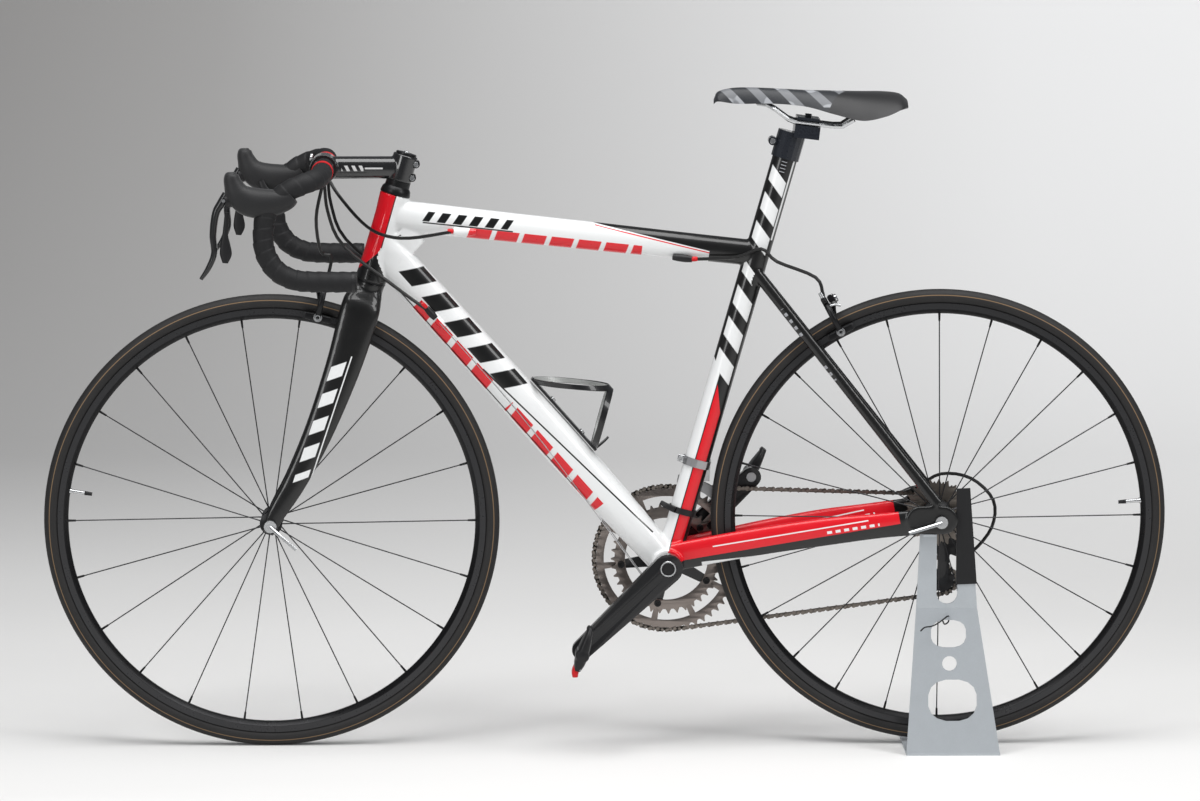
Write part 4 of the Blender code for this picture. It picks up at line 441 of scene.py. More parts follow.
def perforated(place):
    """Fine cork-like pitting of bar tape and hoods."""
    node = place.tree.nodes.new("ShaderNodeTexVoronoi")
    node.inputs["Scale"].default_value = 620
    place.tree.links.new(place.vector, node.inputs["Vector"])
    return Field(place.tree, node.outputs["Distance"])


CARBON = dict(roughness=0.36, coat=0.5, texture=woven, relief=0.00002, grain=60, mottle=0.25)
TOP_PAINT = surface("top_tube_paint", WHITE, 0.30, coat=0.5, grain=60, mottle=0.03, layers=top_tube_paint)
DOWN_PAINT = surface("down_tube_paint", WHITE, 0.30, coat=0.5, grain=60, mottle=0.03, layers=down_tube_paint)
HEAD_PAINT = surface("head_tube_paint", RED, 0.30, coat=0.5, grain=60, mottle=0.05, layers=head_tube_paint)
SEAT_PAINT = surface("seat_tube_paint", BLACK, layers=seat_tube_paint, **CARBON)
CHAINSTAY_PAINT = surface("chainstay_paint", BLACK, layers=chainstay_paint, **CARBON)
SEATSTAY_PAINT = surface("seatstay_paint", BLACK, layers=seatstay_paint, **CARBON)
FORK_PAINT = surface("fork_paint", BLACK, layers=fork_paint, **CARBON)
CARBON_BLACK = surface("clear_coated_carbon", (0.010, 0.010, 0.011), **CARBON)
BLACK_ALLOY = surface("black_anodised", (0.012, 0.012, 0.013), 0.34, metallic=0.4, relief=0.00002)
SATIN_BLACK = surface("satin_black", (0.011, 0.011, 0.012), 0.42, relief=0.00002)
SILVER = surface("polished_alloy", (0.62, 0.63, 0.64), 0.26, metallic=1.0, grain=500, relief=0.00001)
STEEL = surface("brushed_steel", (0.46, 0.46, 0.47), 0.34, metallic=1.0, grain=700, relief=0.00002)
BRONZE = surface("bronze_anodised", (0.27, 0.235, 0.215), 0.36, metallic=1.0, grain=500, relief=0.00001)
CHAIN_STEEL = surface("oiled_chain_steel", (0.30, 0.265, 0.235), 0.36, metallic=1.0, grain=900, mottle=0.35)
SPOKE_BLACK = surface("black_spoke_steel", (0.05, 0.05, 0.053), 0.36, metallic=0.8, relief=0.00001)
TAPE = surface("cork_bar_tape", (0.010, 0.010, 0.011), 0.66, grain=700, relief=0.00018, texture=perforated)
HOOD_RUBBER = surface("hood_rubber", (0.012, 0.012, 0.013), 0.54, grain=500, relief=0.00012,
                      texture=perforated, sheen=0.15)
RUBBER = surface("soft_black_rubber", (0.011, 0.011, 0.012), 0.58, grain=500, relief=0.00006)
RED_PLASTIC = surface("red_plastic", (0.62, 0.006, 0.010), 0.38, grain=300)
HOUSING = surface("cable_sheath", (0.008, 0.008, 0.008), 0.36, grain=400, relief=0.00002)
WIRE = surface("inner_cable", (0.55, 0.55, 0.56), 0.34, metallic=1.0, grain=900)
SADDLE_HIDE = surface("saddle_synthetic", (0.016, 0.018, 0.022), 0.42, grain=420, relief=0.00012,
                      layers=saddle_paint, sheen=0.1)
STAND_PAINT = surface("stand_powder_coat", (0.52, 0.555, 0.585), 0.40, metallic=0.35, grain=480,
                      relief=0.00009, mottle=0.16)
TOPPER_PAINT = surface("topper_black", (0.020, 0.023, 0.030), 0.28, metallic=0.3, coat=0.5)
WOVEN_GREY = surface("woven_pale_lining", (0.40, 0.41, 0.40), 0.40, metallic=0.3, texture=woven,
                     relief=0.0001, grain=80)


# ---------------------------------------------------------------- building tools
def link_object(name, mesh, finish, smooth=True, angle=40):
    mesh.validate()
    if smooth:
        mesh.shade_smooth()
        mesh.set_sharp_from_angle(angle=math.radians(angle))
    mesh.materials.clear()
    mesh.materials.append(finish)
    made = bpy.data.objects.new(name, mesh)
    bpy.context.scene.collection.objects.link(made)
    return made


def skin(name, rings, finish, closed=False, angle=40):
    """Skin rings of equal point counts; open ends get flat caps."""
    shape = bmesh.new()
    skins = [[shape.verts.new(point) for point in ring] for ring in rings]
    pairs = list(zip(skins, skins[1:])) + ([(skins[-1], skins[0])] if closed else [])
    for lower, upper in pairs:
        for i in range(len(lower)):
            j = (i + 1) % len(lower)
            shape.faces.new((lower[i], lower[j], upper[j], upper[i]))
    if not closed:
        shape.faces.new(reversed(skins[0]))
        shape.faces.new(skins[-1])
    bmesh.ops.remove_doubles(shape, verts=shape.verts, dist=0.00001)
    bmesh.ops.recalc_face_normals(shape, faces=shape.faces)
    mesh = bpy.data.meshes.new(name)
    shape.to_mesh(mesh)
    shape.free()
    return link_object(name, mesh, finish, angle=angle)


def spline(stations, per_span):
    """Catmull-Rom through stations, each a point followed by any sizes."""
    rows = [(*Vector(station[0]), *station[1:]) for station in stations]
    first = tuple(2 * a - b for a, b in zip(rows[0], rows[1]))
    last = tuple(2 * a - b for a, b in zip(rows[-1], rows[-2]))
    rows = [first] + rows + [last]
    path = []
    for a, b, c, d in zip(rows, rows[1:], rows[2:], rows[3:]):
        for i in range(per_span):
            t = i / per_span
            path.append([0.5 * (2 * q + (r - p) * t + (2 * p - 5 * q + 4 * r - s) * t * t
                                + (3 * q - p - 3 * r + s) * t ** 3) for p, q, r, s in zip(a, b, c, d)])
    path.append(list(rows[-2]))
    return [(Vector(row[:3]), *row[3:]) for row in path]


def side_frames(path):
    """An up and a side direction at each point, the side starting near Y."""
    frames = []
    side = None
    for i in range(len(path)):
        tangent = (path[min(i + 1, len(path) - 1)] - path[max(i - 1, 0)]).normalized()
        if side is None:
            side = ALONG_Y if abs(tangent.y) < 0.9 else ALONG_X
        side = (side - side.dot(tangent) * tangent).normalized()
        frames.append((side.cross(tangent), side))
    return frames


def sweep(name, stations, finish, sides=32, power=2.0, angle=40):
    """Sweep an oval of (point, half depth, half width) stations."""
    path = [station[0] for station in stations]
    rings = []
    for (point, depth, width), (up, side) in zip(stations, side_frames(path)):
        ring = []
        for i in range(sides):
            turn = 2 * math.pi * (i + 0.5) / sides
            a = math.copysign(abs(math.cos(turn)) ** (2 / power), math.cos(turn))
            b = math.copysign(abs(math.sin(turn)) ** (2 / power), math.sin(turn))
            ring.append(point + depth * a * up + width * b * side)
        rings.append(ring)
    return skin(name, rings, finish, angle=angle)


def wire(name, knots, radius, finish, per_span=6, sides=12):
    """A round tube on a smooth curve through the knots."""
    return sweep(name, spline([(Vector(knot), radius, radius) for knot in knots], per_span), finish, sides)


def turned(name, profile, origin, axis, finish, steps=48, closed=True):
    """Turn a profile of (radius, height) about an axis through the origin."""
    turn = Vector(axis).to_track_quat('Z', 'Y').to_matrix()
    origin = Vector(origin)
    rings = []
    for radius, height in profile:
        rings.append([origin + turn @ Vector((radius * math.cos(2 * math.pi * i / steps),
                                              radius * math.sin(2 * math.pi * i / steps), height))
                      for i in range(steps)])
    return skin(name, rings, finish, closed=closed, angle=32)


def plate(name, outlines, y, half, finish, bevel=0.0004):
    """A flat piece in the XZ plane from closed outlines, the later ones being its windows."""
    flat = bpy.data.curves.new(name, 'CURVE')
    flat.dimensions = '2D'
    flat.fill_mode = 'BOTH'
    flat.extrude = half - bevel
    flat.bevel_depth = bevel
    flat.bevel_resolution = 1
    flat.offset = -bevel
    for outline in outlines:
        line = flat.splines.new('POLY')
        line.points.add(len(outline) - 1)
        for slot, (x, z) in zip(line.points, outline):
            slot.co = (x, z, 0, 1)
        line.use_cyclic_u = True
    holder = bpy.data.objects.new(name, flat)
    bpy.context.scene.collection.objects.link(holder)
    mesh = bpy.data.meshes.new_from_object(holder.evaluated_get(bpy.context.evaluated_depsgraph_get()))
    bpy.data.objects.remove(holder)
    bpy.data.curves.remove(flat)
    mesh.name = name
    mesh.transform(Matrix.Translation((0, y, 0)) @ Matrix.Rotation(math.pi / 2, 4, 'X'))
    mesh.flip_normals()
    shape = bmesh.new()
    shape.from_mesh(mesh)
    bmesh.ops.remove_doubles(shape, verts=shape.verts, dist=0.000005)
    bmesh.ops.recalc_face_normals(shape, faces=shape.faces)
    shape.to_mesh(mesh)
    shape.free()
    return link_object(name, mesh, finish)


def circle(centre, radius, count=32, start=0.0):
    return [(centre[0] + radius * math.cos(start + 2 * math.pi * i / count),
             centre[1] + radius * math.sin(start + 2 * math.pi * i / count)) for i in range(count)]


def flat(point):
    return (point.x, point.z)


def capsule(start, end, radii, count=14):
    """Outline of a link with round ends."""
    away = Vector((end[0] - start[0], end[1] - start[1]))
    heading = math.atan2(away.y, away.x)
    spread = math.acos(max(-1, min(1, (radii[0] - radii[1]) / away.length)))
    outline = []
    for i in range(count + 1):
        turn = heading + spread + (2 * math.pi - 2 * spread) * i / count
        outline.append((start[0] + radii[0] * math.cos(turn), start[1] + radii[0] * math.sin(turn)))
    for i in range(count + 1):
        turn = heading - spread + 2 * spread * i / count
        outline.append((end[0] + radii[1] * math.cos(turn), end[1] + radii[1] * math.sin(turn)))
    return outline


def merge(name, things, finish=None):
    """Join objects into one; each keeps its own material unless one is given."""
    mesh = bpy.data.meshes.new(name)
    shape = bmesh.new()
    finishes = []
    for thing in things:
        own = finish or thing.data.materials[0]
        if own not in finishes:
            finishes.append(own)
        start = len(shape.faces)
        shape.from_mesh(thing.data)
        shape.faces.ensure_lookup_table()
        for face in shape.faces[start:]:
            face.material_index = finishes.index(own)
        old = thing.data
        bpy.data.objects.remove(thing)
        bpy.data.meshes.remove(old)
    shape.to_mesh(mesh)
    shape.free()
    made = bpy.data.objects.new(name, mesh)
    for one in finishes:
        mesh.materials.append(one)
    bpy.context.scene.collection.objects.link(made)
    return made


def bake(thing):
    """Apply a piece's modifiers."""
    mesh = bpy.data.meshes.new_from_object(thing.evaluated_get(bpy.context.evaluated_depsgraph_get()))
    old = thing.data
    thing.modifiers.clear()
    thing.data = mesh
    bpy.data.meshes.remove(old)
    return thing


def fuse(name, things, finish, voxel, smoothing):
    """Melt overlapping solids into one skin with soft fillets."""
    whole = merge(name, things, finish)
    remesh = whole.modifiers.new("remesh", 'REMESH')
    remesh.mode = 'VOXEL'
    remesh.voxel_size = voxel
    smooth = whole.modifiers.new("smooth", 'SMOOTH')
    smooth.factor = 0.5
    smooth.iterations = smoothing
    bake(whole)
    whole.data.shade_smooth()
    whole.data.materials.clear()
    whole.data.materials.append(finish)
    return whole


def bolt(name, seat, axis, radius, height, finish=None):
    """A socket-head bolt whose hexagonal socket is sunk into its crown."""
    finish = finish or SILVER
    axis = Vector(axis).normalized()
    turn = axis.to_track_quat('Z', 'Y').to_matrix()
    steps = 24
    sections = [(radius, 0.0, 0), (radius, height * 0.75, 0), (radius * 0.86, height, 0),
                (radius * 0.52, height, 6), (radius * 0.50, height * 0.35, 6)]
    rings = []
    for size, up, corners in sections:
        ring = []
        for i in range(steps):
            angle = 2 * math.pi * i / steps
            reach = size
            if corners:
                reach = size / math.cos((angle + math.pi / corners) % (2 * math.pi / corners)
                                        - math.pi / corners)
            ring.append(Vector(seat) + turn @ Vector((reach * math.cos(angle), reach * math.sin(angle), up)))
        rings.append(ring)
    return skin(name, rings, finish, angle=32)


def ride_all(body, *things):
    for thing in things:
        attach(thing, body)


def keep(node, finish, bevel=0.0):
    """A CAD node whose shape is right: give it its finish and soften its edges."""
    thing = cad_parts[node]
    thing.data.materials.clear()
    thing.data.materials.append(finish)
    for face in thing.data.polygons:
        face.material_index = 0
    if bevel:
        edge = thing.modifiers.new("edges", 'BEVEL')
        edge.width = bevel
        edge.segments = 2
        edge.limit_method = 'ANGLE'
        edge.angle_limit = math.radians(40)


# ---------------------------------------------------------------- wheels
def make_wheel(end, axle, spokes, flange_y, flange_radius, hub_profile, valve_angle):
    body = end + "_wheel"
    centre = TYRE_RADIUS - TYRE_SECTION
    arc = math.radians(140)
    section = [(centre + TYRE_SECTION * math.cos(arc * (i / 9 - 1)),
                TYRE_SECTION * math.sin(arc * (i / 9 - 1)))
               for i in range(19)]
    tyre = turned(end + "_tyre_carcass", section, axle, ALONG_Y,
                  surface(end + "_tyre_tread", (0.022, 0.021, 0.021), 0.62, grain=350, relief=0.00008,
                          mottle=0.3, layers=tyre_lines(axle)), 200)
    half, nose = RIM_HALF_WIDTH, RIM_NOSE
    inner = RIM_OUTER - RIM_DEPTH
    profile = [(RIM_OUTER, -half), (RIM_OUTER - BRAKE_TRACK, -half),
               (RIM_OUTER - BRAKE_TRACK - 0.0015, -half + 0.0012),
               (inner + 0.0014, -nose - 0.001), (inner, -nose + 0.0012), (inner, nose - 0.0012),
               (inner + 0.0014, nose + 0.001), (RIM_OUTER - BRAKE_TRACK - 0.0015, half - 0.0012),
               (RIM_OUTER - BRAKE_TRACK, half), (RIM_OUTER, half)]
    rim = turned(end + "_rim_hoop", profile, axle, ALONG_Y,
                 surface(end + "_rim_anodised", (0.016, 0.016, 0.017), 0.30, metallic=0.6, grain=300,
                         layers=rim_bands(axle)), 200)
    hub = turned(end + "_hub_shell", hub_profile, axle, ALONG_Y, BLACK_ALLOY, 40)
    lacing, nipples = [], []
    for i in range(spokes):
        side = i % 2
        angle = 2 * math.pi * i / spokes
        outward = Vector((math.cos(angle), 0, math.sin(angle)))
        root = axle + flange_radius[side] * 0.86 * outward + flange_y[side] * ALONG_Y
        nose_y = math.copysign(RIM_NOSE * 0.45, flange_y[side])
        tip = axle + inner * outward + nose_y * ALONG_Y
        lacing.append(sweep("spoke", [(root, 0.0011, 0.0009), (root.lerp(tip, 0.06), 0.0009, 0.0009),
                                      (tip, 0.0009, 0.0009)], SPOKE_BLACK, 8))
        neck = tip + (root - tip).normalized() * 0.011
        nipples.append(sweep("nipple", [(tip + 0.001 * outward, 0.0019, 0.0019), (neck, 0.0015, 0.0015)],
                             BLACK_ALLOY, 8))
    wires = merge(end + "_spokes", lacing)
    ends = merge(end + "_nipples", nipples)
    outward = Vector((math.cos(valve_angle), 0, math.sin(valve_angle)))
    foot = axle + (inner + 0.001) * outward
    valve = merge(end + "_valve", [
        sweep("stem", [(foot, 0.0029, 0.0029), (foot - 0.022 * outward, 0.0028, 0.0028)], SILVER, 16),
        sweep("collar", [(foot, 0.0042, 0.0042), (foot - 0.003 * outward, 0.0042, 0.0042)], SILVER, 16),
        sweep("cap", [(foot - 0.022 * outward, 0.0031, 0.0031), (foot - 0.033 * outward, 0.0026, 0.0026)],
              SATIN_BLACK, 16)])
    ride_all(body, tyre, rim, hub, wires, ends, valve)
    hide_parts(end + "_tyre")
    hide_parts(end + "_rim")
    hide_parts(end + "_hub_and_spokes")


def make_wheels():
    y, flange = 0.035, 0.0165
    outer = [(0.0085, 0.0437), (0.0085, y + 0.004), (0.013, y + 0.003), (flange, y + 0.0016),
             (flange, y - 0.0016),
             (0.0125, y - 0.003), (0.0095, y - 0.007)]
    profile = outer + [(r, -h) for r, h in reversed(outer)] + [(0.0053, -0.0437), (0.0053, 0.0437)]
    make_wheel("front", FRONT_AXLE, 22, (-y, y), (flange, flange), profile, math.radians(171.5))
    left, right = 0.017, 0.021
    profile = [(0.010, -0.0587), (0.010, -0.040), (left, -0.0366), (left, -0.0334), (0.0125, -0.031),
               (0.0105, -0.026), (0.0125, 0.0115), (0.017, 0.0145), (right, 0.0159), (right, 0.0191),
               (0.014, 0.0215), (0.0065, 0.0215), (0.0065, -0.0587)]
    make_wheel("rear", REAR_AXLE, 24, (-y, 0.0175), (left, right), profile, math.radians(4))


# ---------------------------------------------------------------- frame
def lofted_line(start, end, sizes):
    steps = len(sizes) - 1
    return [(Vector(start).lerp(Vector(end), i / steps), *size) for i, size in enumerate(sizes)]


def stay_lines(side):
    """Chainstay and seatstay stations on one side."""
    start, end = BRACKET + Vector((0.006, 0, 0.010)), REAR_AXLE + Vector((-0.020, 0, 0.0))
    chainstay = []
    for t, y, width in zip((0.0, 0.16, 0.38, 0.60, 0.80, 0.95), (0.018, 0.0235, 0.034, 0.045, 0.056, 0.0655),
                           (0.008, 0.0085, 0.009, 0.009, 0.0075, 0.0055)):
        point = start.lerp(end, t) + Vector((0, side * y, 0.006 * math.sin(math.pi * t)))
        chainstay.append((point, 0.0205 - (0.0020 if t > 0.7 else 0.0), width))
    top, low = at_seat(STAY_HEIGHT, 0.004), REAR_AXLE + Vector((-0.004, 0, 0.024))
    across = (0.012, 0.024, 0.031, 0.042, 0.055, REAR_HUB_HALF + DROPOUT_THICKNESS / 2)
    seatstay = [(top.lerp(low, i / 5) + side * y * ALONG_Y, 0.0082, 0.0066 if i < 5 else 0.0042)
                for i, y in enumerate(across)]
    return chainstay, seatstay


def make_frame():
    """One melted skin for the whole frame, then cut by its nearest tube into separately painted pieces."""
    top = lofted_line(at_steerer(HEAD_TOP - TOP_TUBE_DROP, 0.004), at_seat(TOP_TUBE_HEIGHT),
                      [(0.0235, 0.019), (0.022, 0.0185), (0.021, 0.018), (0.0205, 0.0175), (0.0195, 0.017),
                       (0.019, 0.0165)])
    down = lofted_line(at_steerer(HEAD_TOP - DOWN_TUBE_DROP, 0.004), BRACKET,
                       [(0.028, 0.020), (0.0285, 0.022), (0.029, 0.0245), (0.030, 0.0265), (0.028, 0.028),
                        (0.0235, 0.030)])
    r = HEAD_TUBE_RADIUS
    solids = [
        turned("head", [(0, FORK_LENGTH), (r + 0.0008, FORK_LENGTH), (r - 0.001, FORK_LENGTH + 0.04),
                        (r - 0.0015, HEAD_TOP - 0.03), (r, HEAD_TOP), (0, HEAD_TOP)], STEER_BASE, STEER_UP,
               HEAD_PAINT, 64, closed=False),
        sweep("top", spline(top, 8), TOP_PAINT, 48, 2.3),
        sweep("down", spline(down, 8), DOWN_PAINT, 48, 2.4),
        sweep("seat", [(at_seat(0.0), SEAT_TUBE_RADIUS, SEAT_TUBE_RADIUS),
                       (at_seat(MAST_LENGTH), SEAT_TUBE_RADIUS, SEAT_TUBE_RADIUS)], SEAT_PAINT, 48),
        turned("shell", [(0, -0.034), (0.0235, -0.034), (0.0235, 0.034), (0, 0.034)], BRACKET, ALONG_Y,
               SEAT_PAINT, 64, closed=False),
        sweep("throat", [(at_steerer(HEAD_TOP - 0.052, -0.020), 0.030, 0.016),
                         (at_steerer(HEAD_TOP - 0.070, -0.052), 0.019, 0.012)], TOP_PAINT, 32, 2.4),
    ]
    axes = {"head_tube": (at_steerer(FORK_LENGTH), at_steerer(HEAD_TOP)),
            "top_tube": (top[0][0] + 0.026 * TUBE_TOP_ALONG, top[-1][0] - 0.018 * TUBE_TOP_ALONG),
            "down_tube": (down[0][0] + 0.026 * TUBE_DOWN_ALONG, down[-1][0] - 0.030 * TUBE_DOWN_ALONG),
            "seat_tube": (at_seat(0.0), at_seat(MAST_LENGTH))}
    finishes = {"head_tube": HEAD_PAINT, "top_tube": TOP_PAINT, "down_tube": DOWN_PAINT,
                "seat_tube": SEAT_PAINT}
    slots = {"head_tube": "red_paint", "top_tube": "white_paint", "down_tube": "white_paint",
             "seat_tube": "black_carbon"}
    for side, word in ((-1, "left"), (1, "right")):
        chainstay, seatstay = stay_lines(side)
        solids.append(sweep(word + "_cs", spline(chainstay, 8), CHAINSTAY_PAINT, 32, 2.6))
        solids.append(sweep(word + "_ss", spline(seatstay, 8), SEATSTAY_PAINT, 32, 2.2))
        y = side * (REAR_HUB_HALF + 0.0003 + DROPOUT_THICKNESS / 2)
        solids.append(plate(word + "_do", [capsule((-0.030, 0.342), (0.004, 0.342), (0.0205, 0.0205), 24)], y,
                            DROPOUT_THICKNESS / 2, CHAINSTAY_PAINT))
        if side > 0:
            solids.append(plate("hang", [capsule((0.004, 0.342), (0.010, 0.312), (0.012, 0.0085))], y,
                                DROPOUT_THICKNESS / 2, CHAINSTAY_PAINT))
        axes[word + "_chainstay"] = (chainstay[0][0] + Vector((0.02, 0, 0)),
                                     chainstay[-1][0] + Vector((0.02, 0, 0)))
        axes[word + "_seatstay"] = (seatstay[0][0] + Vector((0.012, 0, -0.016)),
                                    seatstay[-1][0] + Vector((-0.004, 0, 0.012)))
        finishes[word + "_chainstay"], finishes[word + "_seatstay"] = CHAINSTAY_PAINT, SEATSTAY_PAINT
        slots[word + "_chainstay"], slots[word + "_seatstay"] = "red_paint", "black_carbon"
    bridge = at_seat(STAY_HEIGHT, 0.004).lerp(REAR_AXLE + Vector((-0.004, 0, 0.024)), 0.185)
    solids.append(sweep("bridge", [(bridge - 0.022 * ALONG_Y, 0.0065, 0.0065),
                                   (bridge + 0.022 * ALONG_Y, 0.0065, 0.0065)], SEATSTAY_PAINT, 24))
    whole = fuse("frame_skin", solids, SEAT_PAINT, 0.0016, 6)
    pieces = cut_by_axes(whole, axes, finishes)
    for node, piece in pieces.items():
        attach(piece, "bike_frame")
        if node == "seat_tube":
            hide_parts(node, "bottom_bracket_shell")
        else:
            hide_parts(node)


def cut_by_axes(whole, axes, finishes):
    """Share a skin's faces among the nearest axes, keeping the skin's normals so that no seam shows."""
    mesh = whole.data
    points = [v.co.copy() for v in mesh.vertices]
    normals = [v.normal.copy() for v in mesh.vertices]
    bulk = {"down_tube": 1.25, "head_tube": 0.95}
    groups = {node: [] for node in axes}
    lines = {node: (a, (b - a), (b - a).length_squared) for node, (a, b) in axes.items()}
    for face in mesh.polygons:
        centre = face.center
        best, nearest = None, 1e9
        for node, (a, along, square) in lines.items():
            t = min(1.0, max(0.0, (centre - a).dot(along) / square))
            distance = (centre - a - t * along).length / bulk.get(node, 1.0)
            if distance < nearest:
                best, nearest = node, distance
        groups[best].append(tuple(face.vertices))
    pieces = {}
    for node, faces in groups.items():
        used = sorted({index for face in faces for index in face})
        renumber = {old: new for new, old in enumerate(used)}
        part = bpy.data.meshes.new(node + "_painted")
        part.from_pydata([points[i] for i in used], [], [[renumber[i] for i in face] for face in faces])
        part.shade_smooth()
        part.normals_split_custom_set_from_vertices([normals[i] for i in used])
        part.materials.append(finishes[node])
        piece = bpy.data.objects.new(node + "_painted", part)
        bpy.context.scene.collection.objects.link(piece)
        pieces[node] = piece
    bpy.data.objects.remove(whole)
    bpy.data.meshes.remove(mesh)
    return pieces


# ---------------------------------------------------------------- fork, stem and bars
def make_fork():
    r = HEAD_TUBE_RADIUS
    tip_centre = (FRONT_HUB_HALF + 0.0003 + FORK_TIP_OUTER) / 2
    tip_half = (FORK_TIP_OUTER - FRONT_HUB_HALF - 0.0003) / 2
    shape = [(FORK_LENGTH - 0.008, 0.000, 0.009, 0.0215, 0.008),
             (FORK_LENGTH - 0.027, 0.002, 0.019, 0.0265, 0.0092),
             (FORK_LENGTH - 0.050, 0.003, 0.0262, 0.029, 0.0102),
             (FORK_LENGTH * 0.66, 0.004, 0.034, 0.026, 0.0092),
             (FORK_LENGTH * 0.40, 0.012, 0.0425, 0.0210, 0.0078),
             (FORK_LENGTH * 0.19, FORK_RAKE * 0.58, 0.0495, 0.0165, 0.0062),
             (FORK_LENGTH * 0.05, FORK_RAKE * 0.90, tip_centre, 0.0128, tip_half),
             (-0.012, FORK_RAKE + 0.002, tip_centre, 0.0100, tip_half)]
    solids = [turned("crown",
                     [(0, FORK_LENGTH - 0.0003), (r, FORK_LENGTH - 0.0003), (r - 0.001, FORK_LENGTH - 0.027),
                               (0, FORK_LENGTH - 0.027)], STEER_BASE, STEER_UP, FORK_PAINT, 48, closed=False)]
    for side in (-1, 1):
        stations = [(at_steerer(h, ahead, side * y), depth, width) for h, ahead, y, depth, width in shape]
        solids.append(sweep("blade", spline(stations, 8), FORK_PAINT, 32, 2.2))
    fork = fuse("fork_painted", solids, FORK_PAINT, 0.0015, 6)
    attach(fork, "steering_assembly")
    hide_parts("fork")
    ring = turned("crown_race", [(r - 0.004, FORK_LENGTH - 0.001), (r + 0.0006, FORK_LENGTH - 0.001),
                                 (r + 0.0006, FORK_LENGTH + 0.0012), (r - 0.004, FORK_LENGTH + 0.0012)],
                  STEER_BASE, STEER_UP, BLACK_ALLOY, 64)
    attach(ring, "steering_assembly")


def make_stem():
    clamp_half = 0.023
    solids = [
        turned("stem_column",
               [(0, STEM_TOP), (0.0172, STEM_TOP), (0.0185, STEM_TOP - 0.0015), (0.0185, STEM_BOTTOM),
                               (0, STEM_BOTTOM)], STEER_BASE, STEER_UP, BLACK_ALLOY, 48, closed=False),
        sweep("stem_arm",
              [(STEM_CENTRE, 0.0165, 0.0165), (BAR_CENTRE + Vector((0.012, 0, 0)), 0.0165, 0.0155)],
              BLACK_ALLOY, 40, 2.4),
        turned("stem_clamp", [(0, -clamp_half), (0.0205, -clamp_half), (0.0205, clamp_half), (0, clamp_half)],
               BAR_CENTRE, ALONG_Y, BLACK_ALLOY, 48, closed=False)]
    stem = fuse("stem_body", solids,
                surface("stem_gloss_black", (0.012, 0.012, 0.013), 0.24, coat=1.0, grain=60,
                                              layers=stem_lines), 0.0010, 5)
    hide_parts("stem", "stem_faceplate")
    cap = turned("steerer_cap",
                 [(0, STEM_TOP + 0.0005), (0.0155, STEM_TOP + 0.0005), (0.0150, STEM_TOP + 0.0030),
                                 (0, STEM_TOP + 0.0040)], STEER_BASE, STEER_UP, BLACK_ALLOY, 40, closed=False)
    pieces = [stem, cap, bolt("cap_bolt", at_steerer(STEM_TOP + 0.003), STEER_UP, 0.0042, 0.0022)]
    for index, height in enumerate((0.009, 0.0295)):
        seat = at_steerer(STEM_BOTTOM + height, -0.0175, 0.0)
        boss = wire(f"clamp_boss_{index}", [seat + Vector((0, -0.010, 0)), seat + Vector((0, 0.010, 0))],
                    0.0058,
                    BLACK_ALLOY)
        pieces += [boss, bolt(f"steerer_bolt_{index}", seat - 0.010 * ALONG_Y, -ALONG_Y, 0.0040, 0.0030)]
    for index, (y, z) in enumerate(((-0.015, 0.0155), (0.015, 0.0155), (-0.015, -0.0155), (0.015, -0.0155))):
        seat = BAR_CENTRE + Vector((-0.0165, y, z))
        pieces.append(bolt(f"faceplate_bolt_{index}", seat, -ALONG_X, 0.0040, 0.0035))
    groove = wire("faceplate_split", [BAR_CENTRE + Vector((0.0010, -0.0233, -0.019)),
                                      BAR_CENTRE + Vector((0.0010, -0.0233, 0.019))], 0.0006, SATIN_BLACK)
    ride_all("steering_assembly", groove, *pieces)
    spacer_finish = BLACK_ALLOY
    r = HEAD_TUBE_RADIUS
    spacer = turned("headset_cover",
                    [(r - 0.006, HEAD_TOP + 0.0003), (r, HEAD_TOP + 0.0003), (r + 0.0002, HEAD_TOP + 0.002),
                                      (r - 0.001, HEAD_TOP + 0.008), (0.0182, HEAD_TOP + 0.012),
                     (0.0180, STEM_BOTTOM - 0.0003),
                                      (0.0146, STEM_BOTTOM - 0.0003)], STEER_BASE, STEER_UP, spacer_finish,
                    64)
    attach(spacer, "steering_assembly")
    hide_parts("headset_spacer")


def stem_lines(place):
    line = place.z - BAR_CENTRE.z
    run = place.x - BAR_CENTRE.x
    rule = line.between(-0.0012, 0.0012) * run.between(0.060, 0.086)
    dashes = (run + line * 0.5).stripes(0.0105, 0.5, 0.06) * run.between(0.026, 0.058) * line.between(-0.004,
                                                                                                      0.004)
    return [(rule, (0.6, 0.6, 0.6)), (dashes, (0.6, 0.6, 0.6))]


def bar_point(side, across, reach, drop):
    return BAR_CENTRE + Vector((-reach * BAR_REACH, side * across * BAR_HALF_WIDTH, -drop * BAR_DROP))


BAR_LINE = [(0.40, 0.00, 0.00), (0.57, 0.00, 0.00), (0.74, 0.01, 0.00), (0.88, 0.07, 0.01),
            (0.97, 0.24, 0.035),
            (1.00, 0.45, 0.08), (1.00, 0.64, 0.14), (1.00, 0.84, 0.24), (1.00, 0.96, 0.36),
            (1.00, 0.995, 0.475),
            (1.00, 1.00, 0.61), (1.00, 0.94, 0.75), (1.00, 0.77, 0.885), (1.00, 0.52, 0.965),
            (1.00, 0.20, 0.995)]


